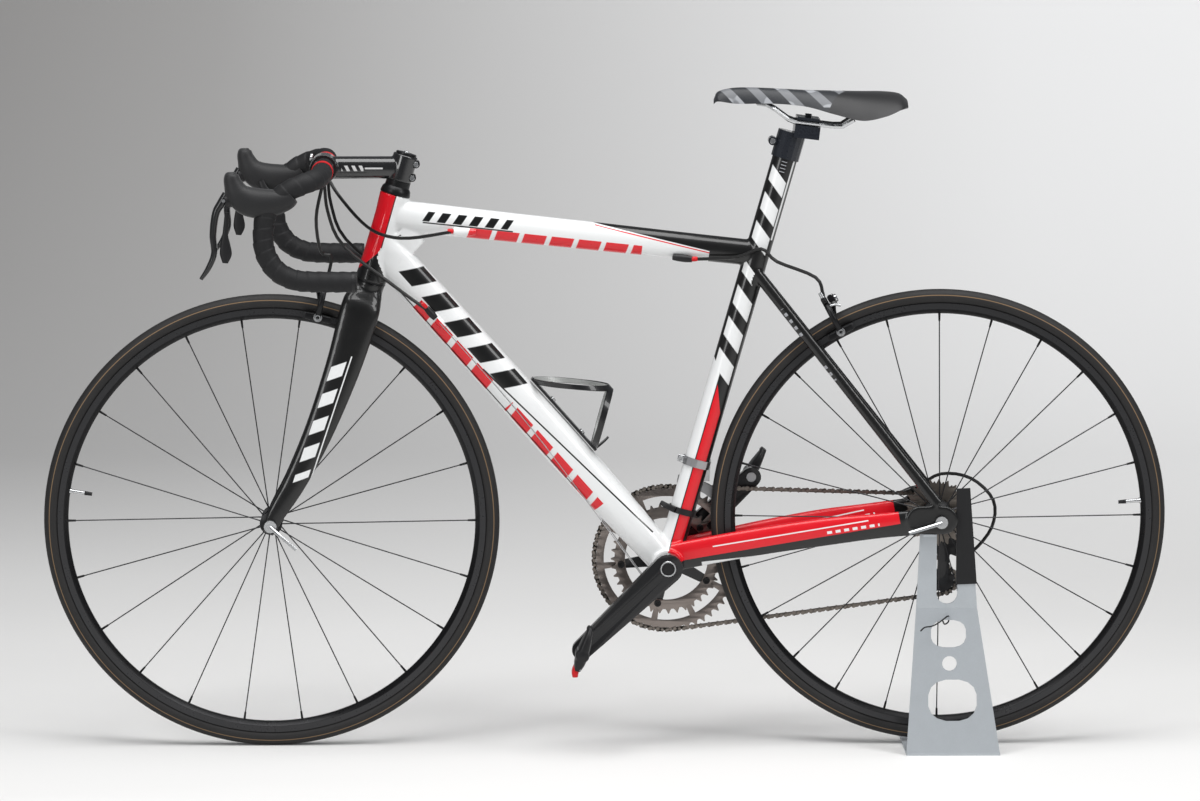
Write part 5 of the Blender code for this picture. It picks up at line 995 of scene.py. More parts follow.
def make_tape(side, word):
    """Tape wound in an overlapping spiral, each turn lapping the one before it."""
    knots = [(bar_point(side, *line), 0.0) for line in BAR_LINE]
    end = bar_point(side, 1.0, 0.20, 1.0) + Vector((BAR_END_LENGTH - 0.2 * BAR_REACH, 0, 0))
    knots.append((end, 0.0))
    path = [row[0] for row in spline(knots, 22)]
    lap = 0.0165
    sides = 28
    run = 0.0
    rings = []
    previous = path[0]
    for point, (up, across) in zip(path, side_frames(path)):
        run += (point - previous).length
        previous = point
        ring = []
        for i in range(sides):
            share = i / sides
            phase = (run / lap + share * side) % 1.0
            edge = 0.0012 * (1 - phase) - 0.0010 * math.exp(-phase * 26)
            radius = TAPE_RADIUS - 0.0014 + edge
            ring.append(point + radius
                        * (math.cos(2 * math.pi * share) * up + math.sin(2 * math.pi * share) * across))
        rings.append(ring)
    tape = skin(word + "_bar_tape", rings, TAPE, angle=60)
    band = sweep(word + "_tape_band", [(bar_point(side, t, 0, 0), TAPE_RADIUS + 0.0002, TAPE_RADIUS + 0.0002)
                                       for t in (0.330, 0.440)], RED_PLASTIC, 32)
    plug = turned(word + "_end_plug",
                  [(0, -0.004), (0.0148, -0.004), (0.0152, 0.0), (0.0135, 0.0022), (0.006, 0.0030),
                                       (0, 0.0030)], end - Vector((0.0032, 0, 0)), ALONG_X, SATIN_BLACK, 32,
                  closed=False)
    return [tape, band, plug]


def make_bars():
    core = sweep("bar_centre", spline([(bar_point(1, t, 0, 0), r, r) for t, r in
                                       ((-0.42, BAR_RADIUS), (-0.22, BAR_RADIUS), (-0.14, BAR_CLAMP_RADIUS),
                                        (0.0, BAR_CLAMP_RADIUS), (0.14, BAR_CLAMP_RADIUS), (0.22, BAR_RADIUS),
                                        (0.42, BAR_RADIUS))], 4), CARBON_BLACK, 32)
    pieces = [core] + make_tape(-1, "left") + make_tape(1, "right")
    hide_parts("handlebar")
    ride_all("steering_assembly", *pieces)


HOOD_SHAPE = [(0.0400, 0.0210, 0.0140, 0.0150), (0.0505, 0.0285, 0.0165, 0.0165),
              (0.075, 0.0330, 0.0205, 0.0178),
              (0.099, 0.0310, 0.0212, 0.0176), (0.1150, 0.0205, 0.0180, 0.0168),
              (0.1225, 0.0050, 0.0132, 0.0140),
              (0.1248, -0.0060, 0.0105, 0.0118), (0.1250, -0.0112, 0.0062, 0.0070)]
LEVER_SHAPE = [(0.1320, 0.0200, 0.0060, 0.0075), (0.1395, 0.0330, 0.0062, 0.0085),
               (0.1475, 0.0480, 0.0055, 0.0088),
               (0.1515, 0.0780, 0.0050, 0.0085), (0.1500, 0.1040, 0.0045, 0.0080),
               (0.1580, 0.1250, 0.0040, 0.0070),
               (0.1690, 0.1415, 0.0028, 0.0050)]
PADDLE_SHAPE = [(0.1310, 0.0460, 0.0035, 0.0030), (0.1340, 0.0760, 0.0040, 0.0030),
                (0.1340, 0.0920, 0.0070, 0.0030),
                (0.1335, 0.1060, 0.0085, 0.0030), (0.1345, 0.1185, 0.0040, 0.0026)]


def at_bar_end(side, reach, drop, across=0.0):
    return BAR_CENTRE + Vector((-reach, side * BAR_HALF_WIDTH + across, -drop))


def make_controls():
    for side, word in ((-1, "left"), (1, "right")):
        def along(shape):
            return spline([(at_bar_end(side, reach, drop), depth, width) for reach, drop, depth,
                           width in shape], 8)

        hood = sweep(word + "_hood_cover", along(HOOD_SHAPE), HOOD_RUBBER, 36, 2.2)
        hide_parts(word + "_hood")
        hinge_boss = wire(word + "_lever_mount",
                          [at_bar_end(side, 0.118, 0.026), at_bar_end(side, 0.133, 0.030)],
                          0.0105, SATIN_BLACK)
        thumb = sweep(word + "_thumb_lever", spline([
            (at_bar_end(side, 0.100, 0.036, -side * 0.0175), 0.0045, 0.0018),
            (at_bar_end(side, 0.094, 0.048, -side * 0.0200), 0.0050, 0.0018),
            (at_bar_end(side, 0.084, 0.056, -side * 0.0210), 0.0035, 0.0016)], 6), SATIN_BLACK, 20)
        ride_all("steering_assembly", hood, hinge_boss, thumb)
        lever = sweep(word + "_lever_blade", along(LEVER_SHAPE), CARBON_BLACK, 28, 2.3)
        pin = wire(word + "_lever_pin",
                   [at_bar_end(side, 0.1360, 0.0290, -0.0098), at_bar_end(side, 0.1360, 0.0290, 0.0098)],
                   0.0026, SILVER)
        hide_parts(word + "_brake_lever")
        ride_all(word + "_lever_body", lever, pin)
        paddle = sweep(word + "_paddle_blade", along(PADDLE_SHAPE), SATIN_BLACK, 24, 2.6)
        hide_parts(word + "_shift_paddle")
        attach(paddle, word + "_paddle_body")


# ---------------------------------------------------------------- drivetrain
def toothed_outline(centre, teeth, phase):
    """Roller-chain teeth: a hollow at each roller and a blunt tooth between two."""
    radius = pitch_radius(teeth)
    outline = []
    for i in range(teeth):
        for share, reach in ((0.0, -0.0039), (0.14, -0.0037), (0.30, -0.0010), (0.43, 0.0030), (0.50, 0.0034),
                             (0.57, 0.0030), (0.70, -0.0010), (0.86, -0.0037)):
            angle = phase + 2 * math.pi * (i + share) / teeth
            outline.append((centre.x + (radius + reach) * math.cos(angle),
                            centre.z + (radius + reach) * math.sin(angle)))
    return outline


def ring_windows(inner, outer, count, gap):
    """Curved slots between a ring's struts."""
    windows = []
    for k in range(count):
        low = CRANK_ANGLE + 2 * math.pi * k / count + gap
        high = CRANK_ANGLE + 2 * math.pi * (k + 1) / count - gap
        arc = [low + (high - low) * i / 10 for i in range(11)]
        outline = [(BRACKET.x + outer * math.cos(a), BRACKET.z + outer * math.sin(a)) for a in arc]
        outline += [(BRACKET.x + inner * math.cos(a), BRACKET.z + inner * math.sin(a)) for a in reversed(arc)]
        windows.append(outline)
    return windows


def chain_route():
    """Pitch line round ring, cog and pulleys as dense (x, z) points."""
    wheels = [(BRACKET, pitch_radius(BIG_RING_TEETH), 1), (REAR_AXLE, pitch_radius(SMALL_COG_TEETH), 1),
              (GUIDE_PULLEY, pitch_radius(PULLEY_TEETH), -1),
              (TENSION_PULLEY, pitch_radius(PULLEY_TEETH), 1)]
    normals = []
    for (a, ra, sa), (b, rb, sb) in zip(wheels, wheels[1:] + wheels[:1]):
        away = Vector((b.x - a.x, b.z - a.z))
        normals.append(math.atan2(away.y, away.x) + math.acos((sa * ra - sb * rb) / away.length))
    route = []
    for i, (centre, radius, sense) in enumerate(wheels):
        enter, leave = normals[i - 1], normals[i]
        turn = (enter - leave) % (2 * math.pi) if sense > 0 else -((leave - enter) % (2 * math.pi))
        steps = max(8, round(abs(turn) / math.radians(2)))
        for k in range(steps + 1):
            angle = enter - turn * k / steps
            route.append(Vector((centre.x + sense * radius * math.cos(angle),
                                 centre.z + sense * radius * math.sin(angle))))
    return route


def chain_y(x):
    """The free runs slant from the big ring's plane to the small cog's."""
    start, stop = BRACKET.x + 0.03, REAR_AXLE.x - 0.045
    return BIG_RING_Y + (COG_Y - BIG_RING_Y) * min(1.0, max(0.0, (x - start) / (stop - start)))


def make_chain():
    route = chain_route()
    lengths = [(b - a).length for a, b in zip(route, route[1:] + route[:1])]
    count = 2 * round(sum(lengths) / CHAIN_PITCH / 2)
    pitch = sum(lengths) / count
    pins, run, index = [], 0.0, 0
    for k in range(count):
        while run + lengths[index] < k * pitch:
            run += lengths[index]
            index += 1
        share = (k * pitch - run) / lengths[index]
        spot = route[index].lerp(route[(index + 1) % len(route)], share)
        pins.append(Vector((spot.x, chain_y(spot.x), spot.y)))
    shape = bmesh.new()

    def link_side(a, b, offset, half, radius, waist):
        along = (b - a).normalized()
        up = along.cross(ALONG_Y)
        outline = []
        for centre, sense in ((a, -1), (b, 1)):
            for i in range(5):
                angle = math.pi * (i / 4 - 0.5) * sense
                outline.append(centre + radius
                               * (sense * math.cos(angle) * along + math.sin(angle) * sense * up * sense))
            outline.append((a + b) / 2 + waist * (1 if sense < 0 else -1) * up)
        loops = [[shape.verts.new(p + (offset + s * half) * ALONG_Y) for p in outline] for s in (-1, 1)]
        for i in range(len(outline)):
            j = (i + 1) % len(outline)
            shape.faces.new((loops[0][i], loops[0][j], loops[1][j], loops[1][i]))
        shape.faces.new(reversed(loops[0]))
        shape.faces.new(loops[1])

    for k, pin in enumerate(pins):
        after = pins[(k + 1) % count]
        offset = 0.0022 if k % 2 else 0.0013
        for sign in (-1, 1):
            link_side(pin, after, sign * offset, 0.0004, 0.0037, 0.0028)
        turn = ALONG_Y.to_track_quat('Z', 'Y').to_matrix().to_4x4()
        bmesh.ops.create_cone(shape, cap_ends=True, segments=8, radius1=0.0018, radius2=0.0018, depth=0.0056,
                              matrix=Matrix.Translation(pin) @ turn)
    bmesh.ops.recalc_face_normals(shape, faces=shape.faces)
    mesh = bpy.data.meshes.new("chain_links")
    shape.to_mesh(mesh)
    shape.free()
    chain = link_object("chain_links", mesh, CHAIN_STEEL)
    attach(chain, "bike_frame")
    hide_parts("chain")
    return pins


def pin_phase(pins, centre, radius):
    """The angle of a chain pin that lies on this sprocket's pitch circle."""
    angles = [math.atan2(p.z - centre.z, p.x - centre.x) for p in pins
              if abs(math.hypot(p.x - centre.x, p.z - centre.z) - radius) < 0.0002]
    return angles[len(angles) // 2]


def make_cranks(pins):
    phase = pin_phase(pins, BRACKET, pitch_radius(BIG_RING_TEETH))
    big = plate("big_ring_toothed",
                [toothed_outline(BRACKET, BIG_RING_TEETH, phase)] + [circle(flat(BRACKET), 0.0710, 64)]
                + ring_windows(0.0765, 0.0925, 10, 0.05), BIG_RING_Y, 0.0015, BRONZE, 0.0003)
    small = plate("small_ring_toothed",
                  [toothed_outline(BRACKET, SMALL_RING_TEETH, 0.0), circle(flat(BRACKET), 0.0612, 64)],
                  SMALL_RING_Y, 0.0014, BRONZE, 0.0003)
    pieces = [big, small]
    for piece, node in ((big, "big_chainring"), (small, "small_chainring")):
        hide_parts(node)
    keep("left_crank", CARBON_BLACK, 0.004)
    keep("right_crank", CARBON_BLACK, 0.0025)
    for k in range(5):
        angle = CRANK_ANGLE + 2 * math.pi * k / 5
        spot = BRACKET + BOLT_CIRCLE * Vector((math.cos(angle), 0, math.sin(angle)))
        pieces.append(bolt(f"ring_bolt_{k}", spot + 0.0350 * ALONG_Y + Vector((0, 0.0014, 0)), -ALONG_Y,
                           0.0052, 0.0030, SATIN_BLACK))
        pieces.append(bolt(f"ring_nut_{k}", spot + 0.0462 * ALONG_Y, ALONG_Y, 0.0052, 0.0020, SATIN_BLACK))
    pieces.append(turned("axle_ring",
                         [(0.0092, -0.0625), (0.0118, -0.0625), (0.0118, -0.0652), (0.0112, -0.0660),
                                       (0.0098, -0.0660), (0.0092, -0.0652)], BRACKET, ALONG_Y, SILVER, 48))
    # the black disc sunk inside the silver ring is painted shade standing in for the dark bore of the hollow
    # axle
    pieces.append(turned("axle_well", [(0, -0.0630), (0.0098, -0.0630), (0.0098, -0.0622), (0, -0.0622)],
                         BRACKET,
                         ALONG_Y, SATIN_BLACK, 32, closed=False))
    ride_all("crankset", *pieces)


def make_cassette_and_mech(pins):
    teeth = (23, 21, 19, 17, 16, 15, 14, 13, 12)
    spread = 0.0351 / len(teeth)
    cogs = [plate(f"cog_{count}",
                  [toothed_outline(REAR_AXLE, count, 0.3 * i), circle(flat(REAR_AXLE), 0.0165, 32)],
                  0.0245 + spread * i, 0.0009, CHAIN_STEEL, 0.0002) for i,
            count in enumerate(teeth) if count > 12]
    small = plate("cog_11",
                  [toothed_outline(REAR_AXLE, SMALL_COG_TEETH,
                                   pin_phase(pins, REAR_AXLE, pitch_radius(SMALL_COG_TEETH))),
                             circle(flat(REAR_AXLE), 0.0100, 32)], COG_Y, 0.0010, CHAIN_STEEL, 0.0002)
    barrel = turned("cog_spacers",
                    [(0.0080, 0.0220), (0.0185, 0.0220), (0.0185, 0.0555), (0.0155, 0.0575), (0.0155, 0.0605),
                                    (0.0100, 0.0622), (0.0080, 0.0600)], REAR_AXLE, ALONG_Y, BLACK_ALLOY, 40)
    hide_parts("cassette")
    ride_all("cassette_body", barrel, small, *cogs)
    for centre, node, body in ((GUIDE_PULLEY, "guide_pulley", "guide_pulley_body"),
                               (TENSION_PULLEY, "tension_pulley", "tension_pulley_body")):
        phase = pin_phase(pins, centre, pitch_radius(PULLEY_TEETH))
        wheel = plate(node + "_toothed",
                      [toothed_outline(centre, PULLEY_TEETH, phase), circle(flat(centre), 0.0034, 20)], COG_Y,
                      0.0017, SATIN_BLACK, 0.0003)
        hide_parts(node)
        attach(wheel, body)
    keep("rear_derailleur_cage", CARBON_BLACK, 0.0006)
    keep("rear_derailleur_body", CARBON_BLACK, 0.002)
    pieces = [bolt("pulley_bolt_upper", GUIDE_PULLEY + 0.0208 * ALONG_Y, ALONG_Y, 0.0045, 0.0015),
              bolt("pulley_bolt_lower", TENSION_PULLEY + 0.0060 * ALONG_Y, ALONG_Y, 0.0040, 0.0015)]
    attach(pieces[0], "bike_frame")
    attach(pieces[1], "rear_derailleur_cage_body")
    fixing = bolt("mech_fixing_bolt", REAR_AXLE + Vector((0.010, 0.0845, -0.028)), ALONG_Y, 0.0060, 0.0022)
    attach(fixing, "bike_frame")
    keep("front_derailleur_body", STEEL, 0.0008)
    keep("front_derailleur_cage", STEEL, 0.0003)


# ---------------------------------------------------------------- brakes, cables
def flat_arm(name, stations, thick, finish):
    """A brake arm with rounded edges whose thickness lies along one direction."""
    path = [station[0] for station in stations]
    rings = []
    for i, (point, width, half) in enumerate(stations):
        tangent = path[min(i + 1, len(path) - 1)] - path[max(i - 1, 0)]
        tangent = (tangent - tangent.dot(thick) * thick).normalized()
        across = thick.cross(tangent)
        ring = []
        for k in range(20):
            turn = 2 * math.pi * (k + 0.5) / 20
            a = math.copysign(abs(math.cos(turn)) ** 0.7, math.cos(turn))
            b = math.copysign(abs(math.sin(turn)) ** 0.7, math.sin(turn))
            ring.append(point + width * a * across + half * b * thick)
        rings.append(ring)
    return skin(name, rings, finish)


def make_caliper(name, body, hub, angle, ahead_sign):
    """Sidepull brake: two arms, shoes in their holders, pinch and centre bolts, barrel adjuster."""
    reach, half = 0.046, 0.0045
    outward = Vector((math.cos(angle), 0, math.sin(angle)))
    along_rim = Vector((-math.sin(angle), 0, math.cos(angle)))
    ahead = ahead_sign * along_rim
    centre = hub + (RIM_OUTER * 0.985 - 0.0003 + reach) * outward
    pad_y = RIM_HALF_WIDTH + 0.006
    for side, word, plane in ((-1, "left", 0.0), (1, "right", 2 * half + 0.0006)):
        def place(y, up, shift=0.0):
            return centre + side * y * ALONG_Y + up * outward + plane * (1 - shift) * ahead

        knots = [(place(-0.012, 0.004), 0.0055, half), (place(0.004, 0.001), 0.0068, half),
                 (place(0.022, -0.006), 0.0060, half), (place(0.030, -0.024, 0.7), 0.0052, half),
                 (place(pad_y + 0.006, -reach + 0.002, 1), 0.0058, half)]
        arm = flat_arm(f"{name}_{word}_arm_skin", spline(knots, 7), ahead, BLACK_ALLOY)
        pad = place(pad_y, -reach, 1)
        shoe = sweep(f"{name}_{word}_shoe", spline([(pad - 0.0210 * along_rim, 0.0040, 0.0030),
                                                    (pad - 0.0150 * along_rim, 0.0052, 0.0036),
                                                    (pad + 0.0150 * along_rim, 0.0052, 0.0036),
                                                    (pad + 0.0210 * along_rim, 0.0040, 0.0030)], 4), RUBBER,
                     20, 4)
        holder = sweep(f"{name}_{word}_holder", [
            (pad - 0.0185 * along_rim + side * 0.0022 * ALONG_Y, 0.0046, 0.0020),
            (pad + 0.0185 * along_rim + side * 0.0022 * ALONG_Y, 0.0046, 0.0020)], BLACK_ALLOY, 16, 4)
        fixing = bolt(f"{name}_{word}_shoe_bolt", place(pad_y + 0.0095, -reach + 0.001, 1), side * ALONG_Y,
                      0.0048, 0.0042)
        washer = turned(f"{name}_{word}_washer",
                        [(0.0030, 0.0), (0.0064, 0.0), (0.0064, 0.0016), (0.0030, 0.0016)],
                        place(pad_y + 0.0088, -reach + 0.001, 1), side * ALONG_Y, STEEL, 24)
        ride_all(f"{body}_arm_{word}_body", arm, shoe, holder, fixing, washer)
        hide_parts(f"{name}_arm_{word}")
    front_face = centre + (3 * half + 0.0010) * ahead
    nut = bolt(f"{name}_centre_bolt", front_face, ahead, 0.0062, 0.0045, SILVER)
    ring = turned(f"{name}_centre_ring", [(0.0040, 0), (0.0085, 0), (0.0080, 0.0014), (0.0040, 0.0014)],
                  front_face - 0.0006 * ahead, ahead, BLACK_ALLOY, 32)
    foot = centre + Vector((0, -0.0202, 0)) + 0.0030 * outward
    barrel = turned(f"{name}_barrel_adjuster",
                    [(0.0016, 0.0), (0.0044, 0.0), (0.0046, 0.0022), (0.0036, 0.0026),
                                                (0.0046, 0.0030), (0.0046, 0.0062), (0.0036, 0.0066),
                     (0.0032, 0.0095),
                                                (0.0016, 0.0095)], foot, outward, SATIN_BLACK, 32)
    tip = turned(f"{name}_housing_tip",
                 [(0.0016, 0.0080), (0.0033, 0.0080), (0.0033, 0.0165), (0.0016, 0.0165)],
                 foot, outward, SILVER, 24)
    cam = wire(f"{name}_release_lever", [foot - 0.0065 * outward - 0.0045 * ahead,
                                         foot - 0.0085 * outward + 0.010 * ahead,
                                         foot - 0.0140 * outward + 0.018 * ahead], 0.0018, SILVER)
    ride_all(f"{body}_arm_left_body", barrel, tip, cam)
    ride_all(f"{body}_arm_right_body", nut, ring)


def make_brakes():
    make_caliper("front_brake", "front", FRONT_AXLE, math.radians(77), 1)
    make_caliper("rear_brake", "rear", REAR_AXLE, math.radians(118), -1)


def cable_end(name, body, start, end, finish, radius=0.0036):
    """A ferrule or adjuster where a housing meets its stop."""
    piece = sweep(name, spline([(Vector(start), radius * 0.85, radius * 0.85),
                                (Vector(start).lerp(Vector(end), 0.3), radius, radius),
                                (Vector(start).lerp(Vector(end), 0.7), radius, radius),
                                (Vector(end), radius * 0.8, radius * 0.8)], 3), finish, 20)
    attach(piece, body)


def make_cables():
    for node in ("front_brake_housing", "rear_brake_housing_front", "rear_brake_housing_rear",
                 "left_shift_housing",
                 "right_shift_housing", "rear_derailleur_housing"):
        keep(node, HOUSING)
    top_stop = TUBE_TOP_START.lerp(at_seat(TOP_TUBE_HEIGHT), 0.2) + Vector((-0.012, -0.0250, -0.0105))
    cable_end("top_tube_ferrule", "bike_frame", top_stop - Vector((0.010, -0.0002, -0.0006)), top_stop,
              RED_PLASTIC)
    cable_end("top_tube_stop", "bike_frame", top_stop - 0.002 * ALONG_X,
              top_stop + Vector((0.030, 0.0100, -0.0010)),
              TOP_PAINT, 0.0068)
    low_stop = TUBE_TOP_START.lerp(at_seat(TOP_TUBE_HEIGHT), 0.8) + Vector((0.010, -0.0205, -0.018))
    cable_end("seat_side_stop", "bike_frame", low_stop - Vector((0.026, -0.0060, -0.0030)),
              low_stop + 0.002 * ALONG_X,
              SATIN_BLACK, 0.0055)
    cable_end("seat_side_ferrule", "bike_frame", low_stop, low_stop + Vector((0.010, -0.0024, 0.0010)),
              RED_PLASTIC)
    for side in (-1, 1):
        stop = TUBE_DOWN_START.lerp(BRACKET, 0.2) + Vector((-0.012, side * 0.0275, -0.004))
        word = "left" if side < 0 else "right"
        cable_end(word + "_down_ferrule", "bike_frame",
                  stop - 0.018 * TUBE_DOWN_ALONG + Vector((0, side * 0.0030, 0)),
                  stop - 0.006 * TUBE_DOWN_ALONG, RED_PLASTIC, 0.0034)
        cable_end(word + "_down_adjuster", "bike_frame", stop - 0.008 * TUBE_DOWN_ALONG,
                  stop + 0.012 * TUBE_DOWN_ALONG, SATIN_BLACK, 0.0052)
        cable_end(word + "_down_boss", "bike_frame", stop + Vector((0.004, -side * 0.0045, -0.004)),
                  stop + 0.030 * TUBE_DOWN_ALONG - Vector((0, side * 0.0065, 0)), DOWN_PAINT, 0.0062)
        low_wire = [stop + 0.010 * TUBE_DOWN_ALONG,
                    TUBE_DOWN_START.lerp(BRACKET,
                                         0.55) + Vector((0, side * 0.0250, 0)) - 0.0150 * TUBE_DOWN_UP,
                    BRACKET + Vector((-0.028, side * 0.010, -0.0300))]
        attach(wire(word + "_shift_wire", low_wire, 0.0007, WIRE, 8, 8), "bike_frame")
    hind = REAR_AXLE + Vector((-0.026, 0.0745, 0.030))
    cable_end("stay_stop", "bike_frame", hind - Vector((0.022, 0.0015, 0.008)), hind, CHAINSTAY_PAINT, 0.0050)
    cable_end("stay_ferrule", "bike_frame", hind - Vector((0.002, 0, 0)),
              hind + Vector((0.008, 0.001, 0.0045)), RED_PLASTIC)
    entry = REAR_AXLE + Vector((0.048, 0.0788, -0.062))
    cable_end("mech_ferrule", "bike_frame", entry + Vector((0.011, 0, 0.0)), entry - Vector((0.006, 0, 0)),
              SILVER, 0.0038)


# ---------------------------------------------------------------- saddle and seat clamp
SADDLE_SHAPE = [(0.000, 0.009, 0.0345, 0.003), (0.025, 0.0155, 0.0455, 0.012), (0.12, 0.0190, 0.0510, 0.0225),
                (0.30, 0.0210, 0.0505, 0.0215), (0.47, 0.0275, 0.0480, 0.0230),
                (0.62, 0.0430, 0.0465, 0.0320),
                (0.76, 0.0600, 0.0455, 0.0390), (0.88, 0.0665, 0.0450, 0.0320),
                (0.96, 0.0580, 0.0420, 0.0200),
                (1.00, 0.0420, 0.0340, 0.0080)]


def make_saddle():
    """Padded cover with a pressed centre channel over a moulded shell, on its two rails."""
    rows = spline([(Vector((share, width, top)), droop) for share, width, top, droop in SADDLE_SHAPE], 7)
    points = 29
    rings = []
    for row, droop in rows:
        share, half, top = row
        x = CLAMP_AT.x - 0.137 + min(1.0, max(0.0, share)) * 0.281
        ring = []
        channel = 0.0016 * math.exp(-((share - 0.55) / 0.28) ** 2)
        for i in range(points):
            u = 2 * i / (points - 1) - 1
            dip = channel * math.exp(-(u * half / 0.006) ** 2)
            ring.append(Vector((x, half * u, CLAMP_AT.z + top - 0.0002 - dip - droop * abs(u) ** 2.6)))
        for i in range(points - 2, 0, -1):
            u = 2 * i / (points - 1) - 1
            thick = 0.0085 * (1 - 0.55 * u * u)
            ring.append(Vector((x, (half - 0.0015) * u, CLAMP_AT.z + top - droop * abs(u) ** 2.6 - thick)))
        rings.append(ring)
    saddle = skin("saddle_cover", rings, SADDLE_HIDE, angle=70)
    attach(saddle, "saddle_body")
    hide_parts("saddle")
    keep("saddle_rails", SILVER)
    keep("seat_mast_topper", TOPPER_PAINT, 0.0035)
    ear = at_seat(MAST_LENGTH - 0.006, -0.0245)
    ear_bolt = bolt("topper_pinch_bolt", ear - 0.011 * ALONG_Y, -ALONG_Y, 0.0042, 0.003)
    top_bolt = bolt("rail_clamp_bolt", CLAMP_AT + 0.0095 * RAIL_UP, RAIL_UP, 0.0045, 0.003)
    ride_all("seat_topper_body", ear_bolt, top_bolt)


# ---------------------------------------------------------------- everything else
def make_small_parts():
    keep("stand", STAND_PAINT, 0.0008)
    keep("stand_sleeve", RUBBER, 0.0006)
    make_bottle_cage()
    make_pedals()
    make_frame_fittings()
    for node in ("front_axle", "rear_axle", "front_quick_release_lever", "rear_quick_release_lever"):
        keep(node, SILVER, 0.0006)


def make_bottle_cage():
    """Two bands that lean together round the bottle's place, with a woven pale lining."""
    foot = TUBE_DOWN_START.lerp(BRACKET, 0.53) + 0.0303 * TUBE_DOWN_UP
    middle = foot + 0.0415 * TUBE_DOWN_UP

    def band(name, along, lean, inner, outer, half, finish):
        rings = []
        for i in range(72):
            angle = 2 * math.pi * i / 72
            radial = math.cos(angle) * TUBE_DOWN_UP + math.sin(angle) * ALONG_Y
            centre = middle + (along + lean * math.cos(angle)) * TUBE_DOWN_ALONG
            section = ((inner, -half), (inner, half), (outer, half * 0.86), (outer, -half * 0.86))
            rings.append([centre + reach * radial + run * TUBE_DOWN_ALONG for reach, run in section])
        return skin(name, rings, finish, closed=True, angle=30)

    pieces = []
    for word, along, lean, lift in (("upper", 0.0062, 0.0405, 0.0), ("lower", 0.0712, -0.0245, 0.0002)):
        pieces.append(band(f"cage_{word}_band", along, lean, 0.0376 + lift, 0.0395 + lift, 0.0056,
                           CARBON_BLACK))
        pieces.append(band(f"cage_{word}_lining", along, lean, 0.0371 + lift, 0.0377 + lift, 0.0050,
                           WOVEN_GREY))
    spine = sweep("cage_spine", [(foot + run * TUBE_DOWN_ALONG + 0.0025 * TUBE_DOWN_UP, 0.0022, 0.010)
                                 for run in (-0.040, 0.1015)], CARBON_BLACK, 24, 5)
    lip = sweep("cage_lip", spline([(foot + 0.0995 * TUBE_DOWN_ALONG + 0.001 * TUBE_DOWN_UP, 0.0015, 0.009),
                                    (foot + 0.1000 * TUBE_DOWN_ALONG + 0.020 * TUBE_DOWN_UP, 0.0014, 0.0085),
                                    (foot + 0.0995 * TUBE_DOWN_ALONG + 0.0288 * TUBE_DOWN_UP, 0.0014, 0.006)],
                                   5),
                CARBON_BLACK, 20, 5)
    bolts = [bolt(f"cage_bolt_{i}", foot + run * TUBE_DOWN_ALONG + 0.0046 * TUBE_DOWN_UP, TUBE_DOWN_UP,
                  0.0046, 0.0026)
             for i, run in enumerate((0.004, 0.068))]
    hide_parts("bottle_cage")
    ride_all("bike_frame", spine, lip, *pieces, *bolts)


def make_pedals():
    """Clipless pedals: a bearing barrel, a ribbed platform, a front claw and a red sprung rear claw."""
    for centre, side, word, tilt in ((LEFT_PEDAL, -1, "left", 72), (RIGHT_PEDAL, 1, "right", 60)):
        tilt = math.radians(tilt)
        ahead = Vector((math.cos(tilt), 0, math.sin(tilt)))
        above = Vector((-math.sin(tilt), 0, math.cos(tilt)))
        middle = centre + side * 0.110 * ALONG_Y

        def at(run, up=0.0, across=0.0):
            return middle + run * ahead + up * above + side * across * ALONG_Y

        body = fuse(word + "_pedal_body", [
            turned("barrel",
                   [(0, -0.025), (0.0098, -0.025), (0.0104, -0.020), (0.0104, 0.018), (0.0085, 0.023),
                              (0, 0.025)], middle, side * ALONG_Y, SATIN_BLACK, 32, closed=False),
            sweep("platform", spline([(at(-0.024), 0.0050, 0.0185), (at(-0.010), 0.0085, 0.0225),
                                      (at(0.010), 0.0085, 0.0235), (at(0.028), 0.0060, 0.0200),
                                      (at(0.042), 0.0036, 0.0120)], 5), SATIN_BLACK, 28, 3.5),
            sweep("claw_rise", [(at(0.038, 0.002), 0.0040, 0.0125), (at(0.0425, 0.0030), 0.0020, 0.0100)],
                  SATIN_BLACK, 20, 4)], SATIN_BLACK, 0.0010, 4)
        claw = sweep(word + "_rear_claw",
                     spline([(at(-0.018, 0.002), 0.0045, 0.0150), (at(-0.027, 0.002), 0.0052, 0.0165),
                                                  (at(-0.0335, 0.0), 0.0042, 0.0150)], 5), RED_PLASTIC, 20, 4)
        spring = wire(word + "_claw_pin", [at(-0.020, -0.003, -0.019), at(-0.020, -0.003, 0.019)], 0.0016,
                      STEEL)
        plate_mark = sweep(word + "_wear_plate",
                           [(at(-0.006, 0.0084), 0.0006, 0.0140), (at(0.008, 0.0084), 0.0006, 0.0140)],
                           STEEL, 16, 6)
        spindle = turned(word + "_spindle",
                         [(0, -0.0465), (0.0070, -0.0465), (0.0070, -0.0300), (0.0088, -0.0285),
                                             (0.0088, -0.0245), (0, -0.0245)], middle, side * ALONG_Y, STEEL,
                         32,
                         closed=False)
        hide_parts(word + "_pedal")
        ride_all(word + "_pedal_body", body, claw, spring, plate_mark, spindle)


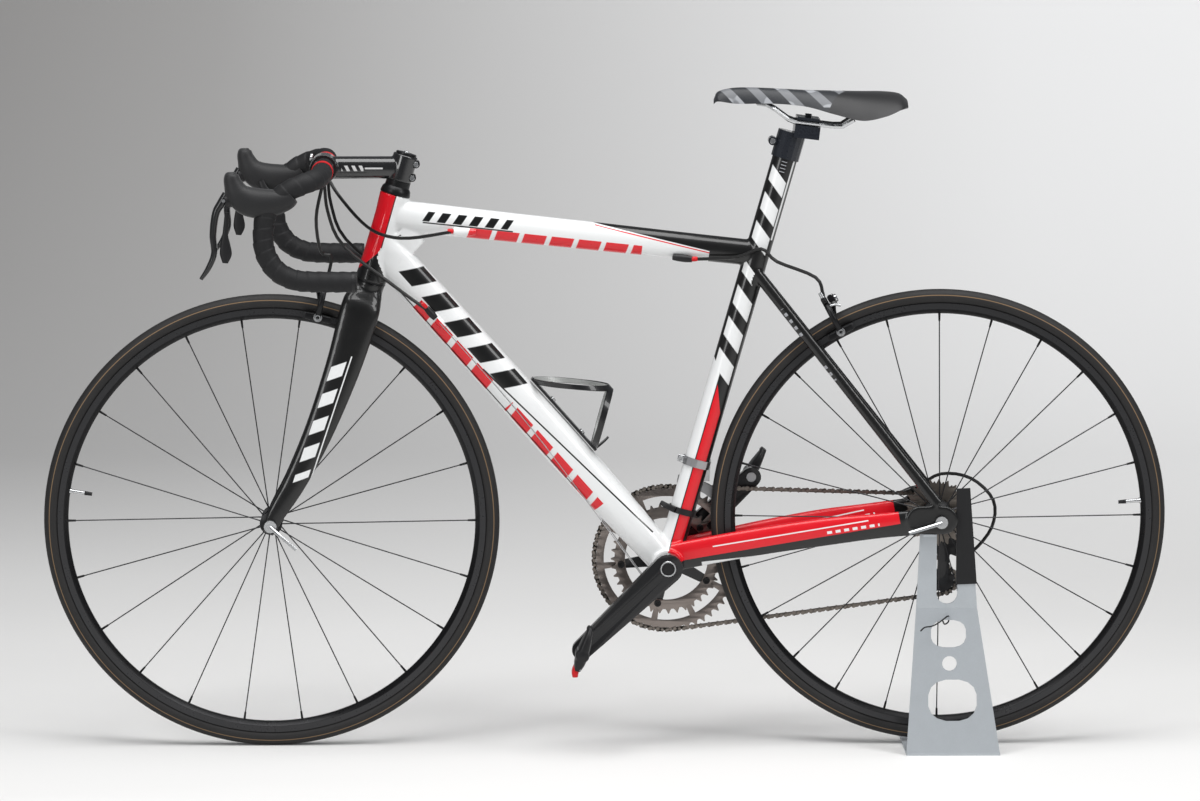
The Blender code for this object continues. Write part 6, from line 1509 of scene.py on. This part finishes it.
def make_frame_fittings():
    """Chain catcher strap and tab, the derailleur band's ear and bolt, and the stand's cable tie."""
    strap_at = at_seat(0.081)
    strap = turned("catcher_strap",
                   [(SEAT_TUBE_RADIUS + 0.0002, -0.0045), (SEAT_TUBE_RADIUS + 0.0022, -0.0045),
                                     (SEAT_TUBE_RADIUS + 0.0022, 0.0045),
                    (SEAT_TUBE_RADIUS + 0.0002, 0.0045)],
                   strap_at, SEAT_UP, SATIN_BLACK, 48)
    tab = sweep("catcher_tab", spline([(at_seat(0.081, -0.012, -0.0185), 0.0045, 0.0030),
                                       (at_seat(0.083, -0.026, -0.0150), 0.0040, 0.0030),
                                       (at_seat(0.085, -0.034, -0.0110), 0.0032, 0.0026)], 5), SATIN_BLACK,
                20, 4)
    clamp_ear = sweep("band_ear", [(at_seat(0.155, -0.0195, -0.005), 0.0058, 0.0020),
                                   (at_seat(0.155, -0.0285, -0.005), 0.0050, 0.0020)], SILVER, 20, 4)
    clamp_bolt = bolt("band_bolt", at_seat(0.155, -0.0245, -0.0070), -ALONG_Y, 0.0040, 0.0030)
    tie = wire("cable_tie",
               [Vector((0.004, -0.0735, 0.1965)), Vector((-0.006, -0.0760, 0.1900)),
                Vector((-0.014, -0.0785, 0.1870)),
                             Vector((-0.024, -0.0800, 0.1855)), Vector((-0.030, -0.0800, 0.1800))], 0.0011,
               SATIN_BLACK, 8, 8)
    loop = wire("cable_tie_loop",
                [Vector((0.004, -0.0735, 0.1965)), Vector((0.010, -0.0680, 0.2000)),
                 Vector((0.013, -0.0590, 0.1975)),
                                   Vector((0.012, -0.0585, 0.1900)), Vector((0.006, -0.0680, 0.1885)),
                                   Vector((0.003, -0.0740, 0.1940))], 0.0011, SATIN_BLACK, 8, 8)
    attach(tie, "stand")
    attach(loop, "stand")
    ride_all("bike_frame", strap, tab, clamp_ear, clamp_bolt)


make_camera()
make_stage()
make_lights()
make_wheels()
make_frame()
make_fork()
make_stem()
make_bars()
make_controls()
chain_pins = make_chain()
make_cranks(chain_pins)
make_cassette_and_mech(chain_pins)
make_brakes()
make_cables()
make_saddle()
make_small_parts()
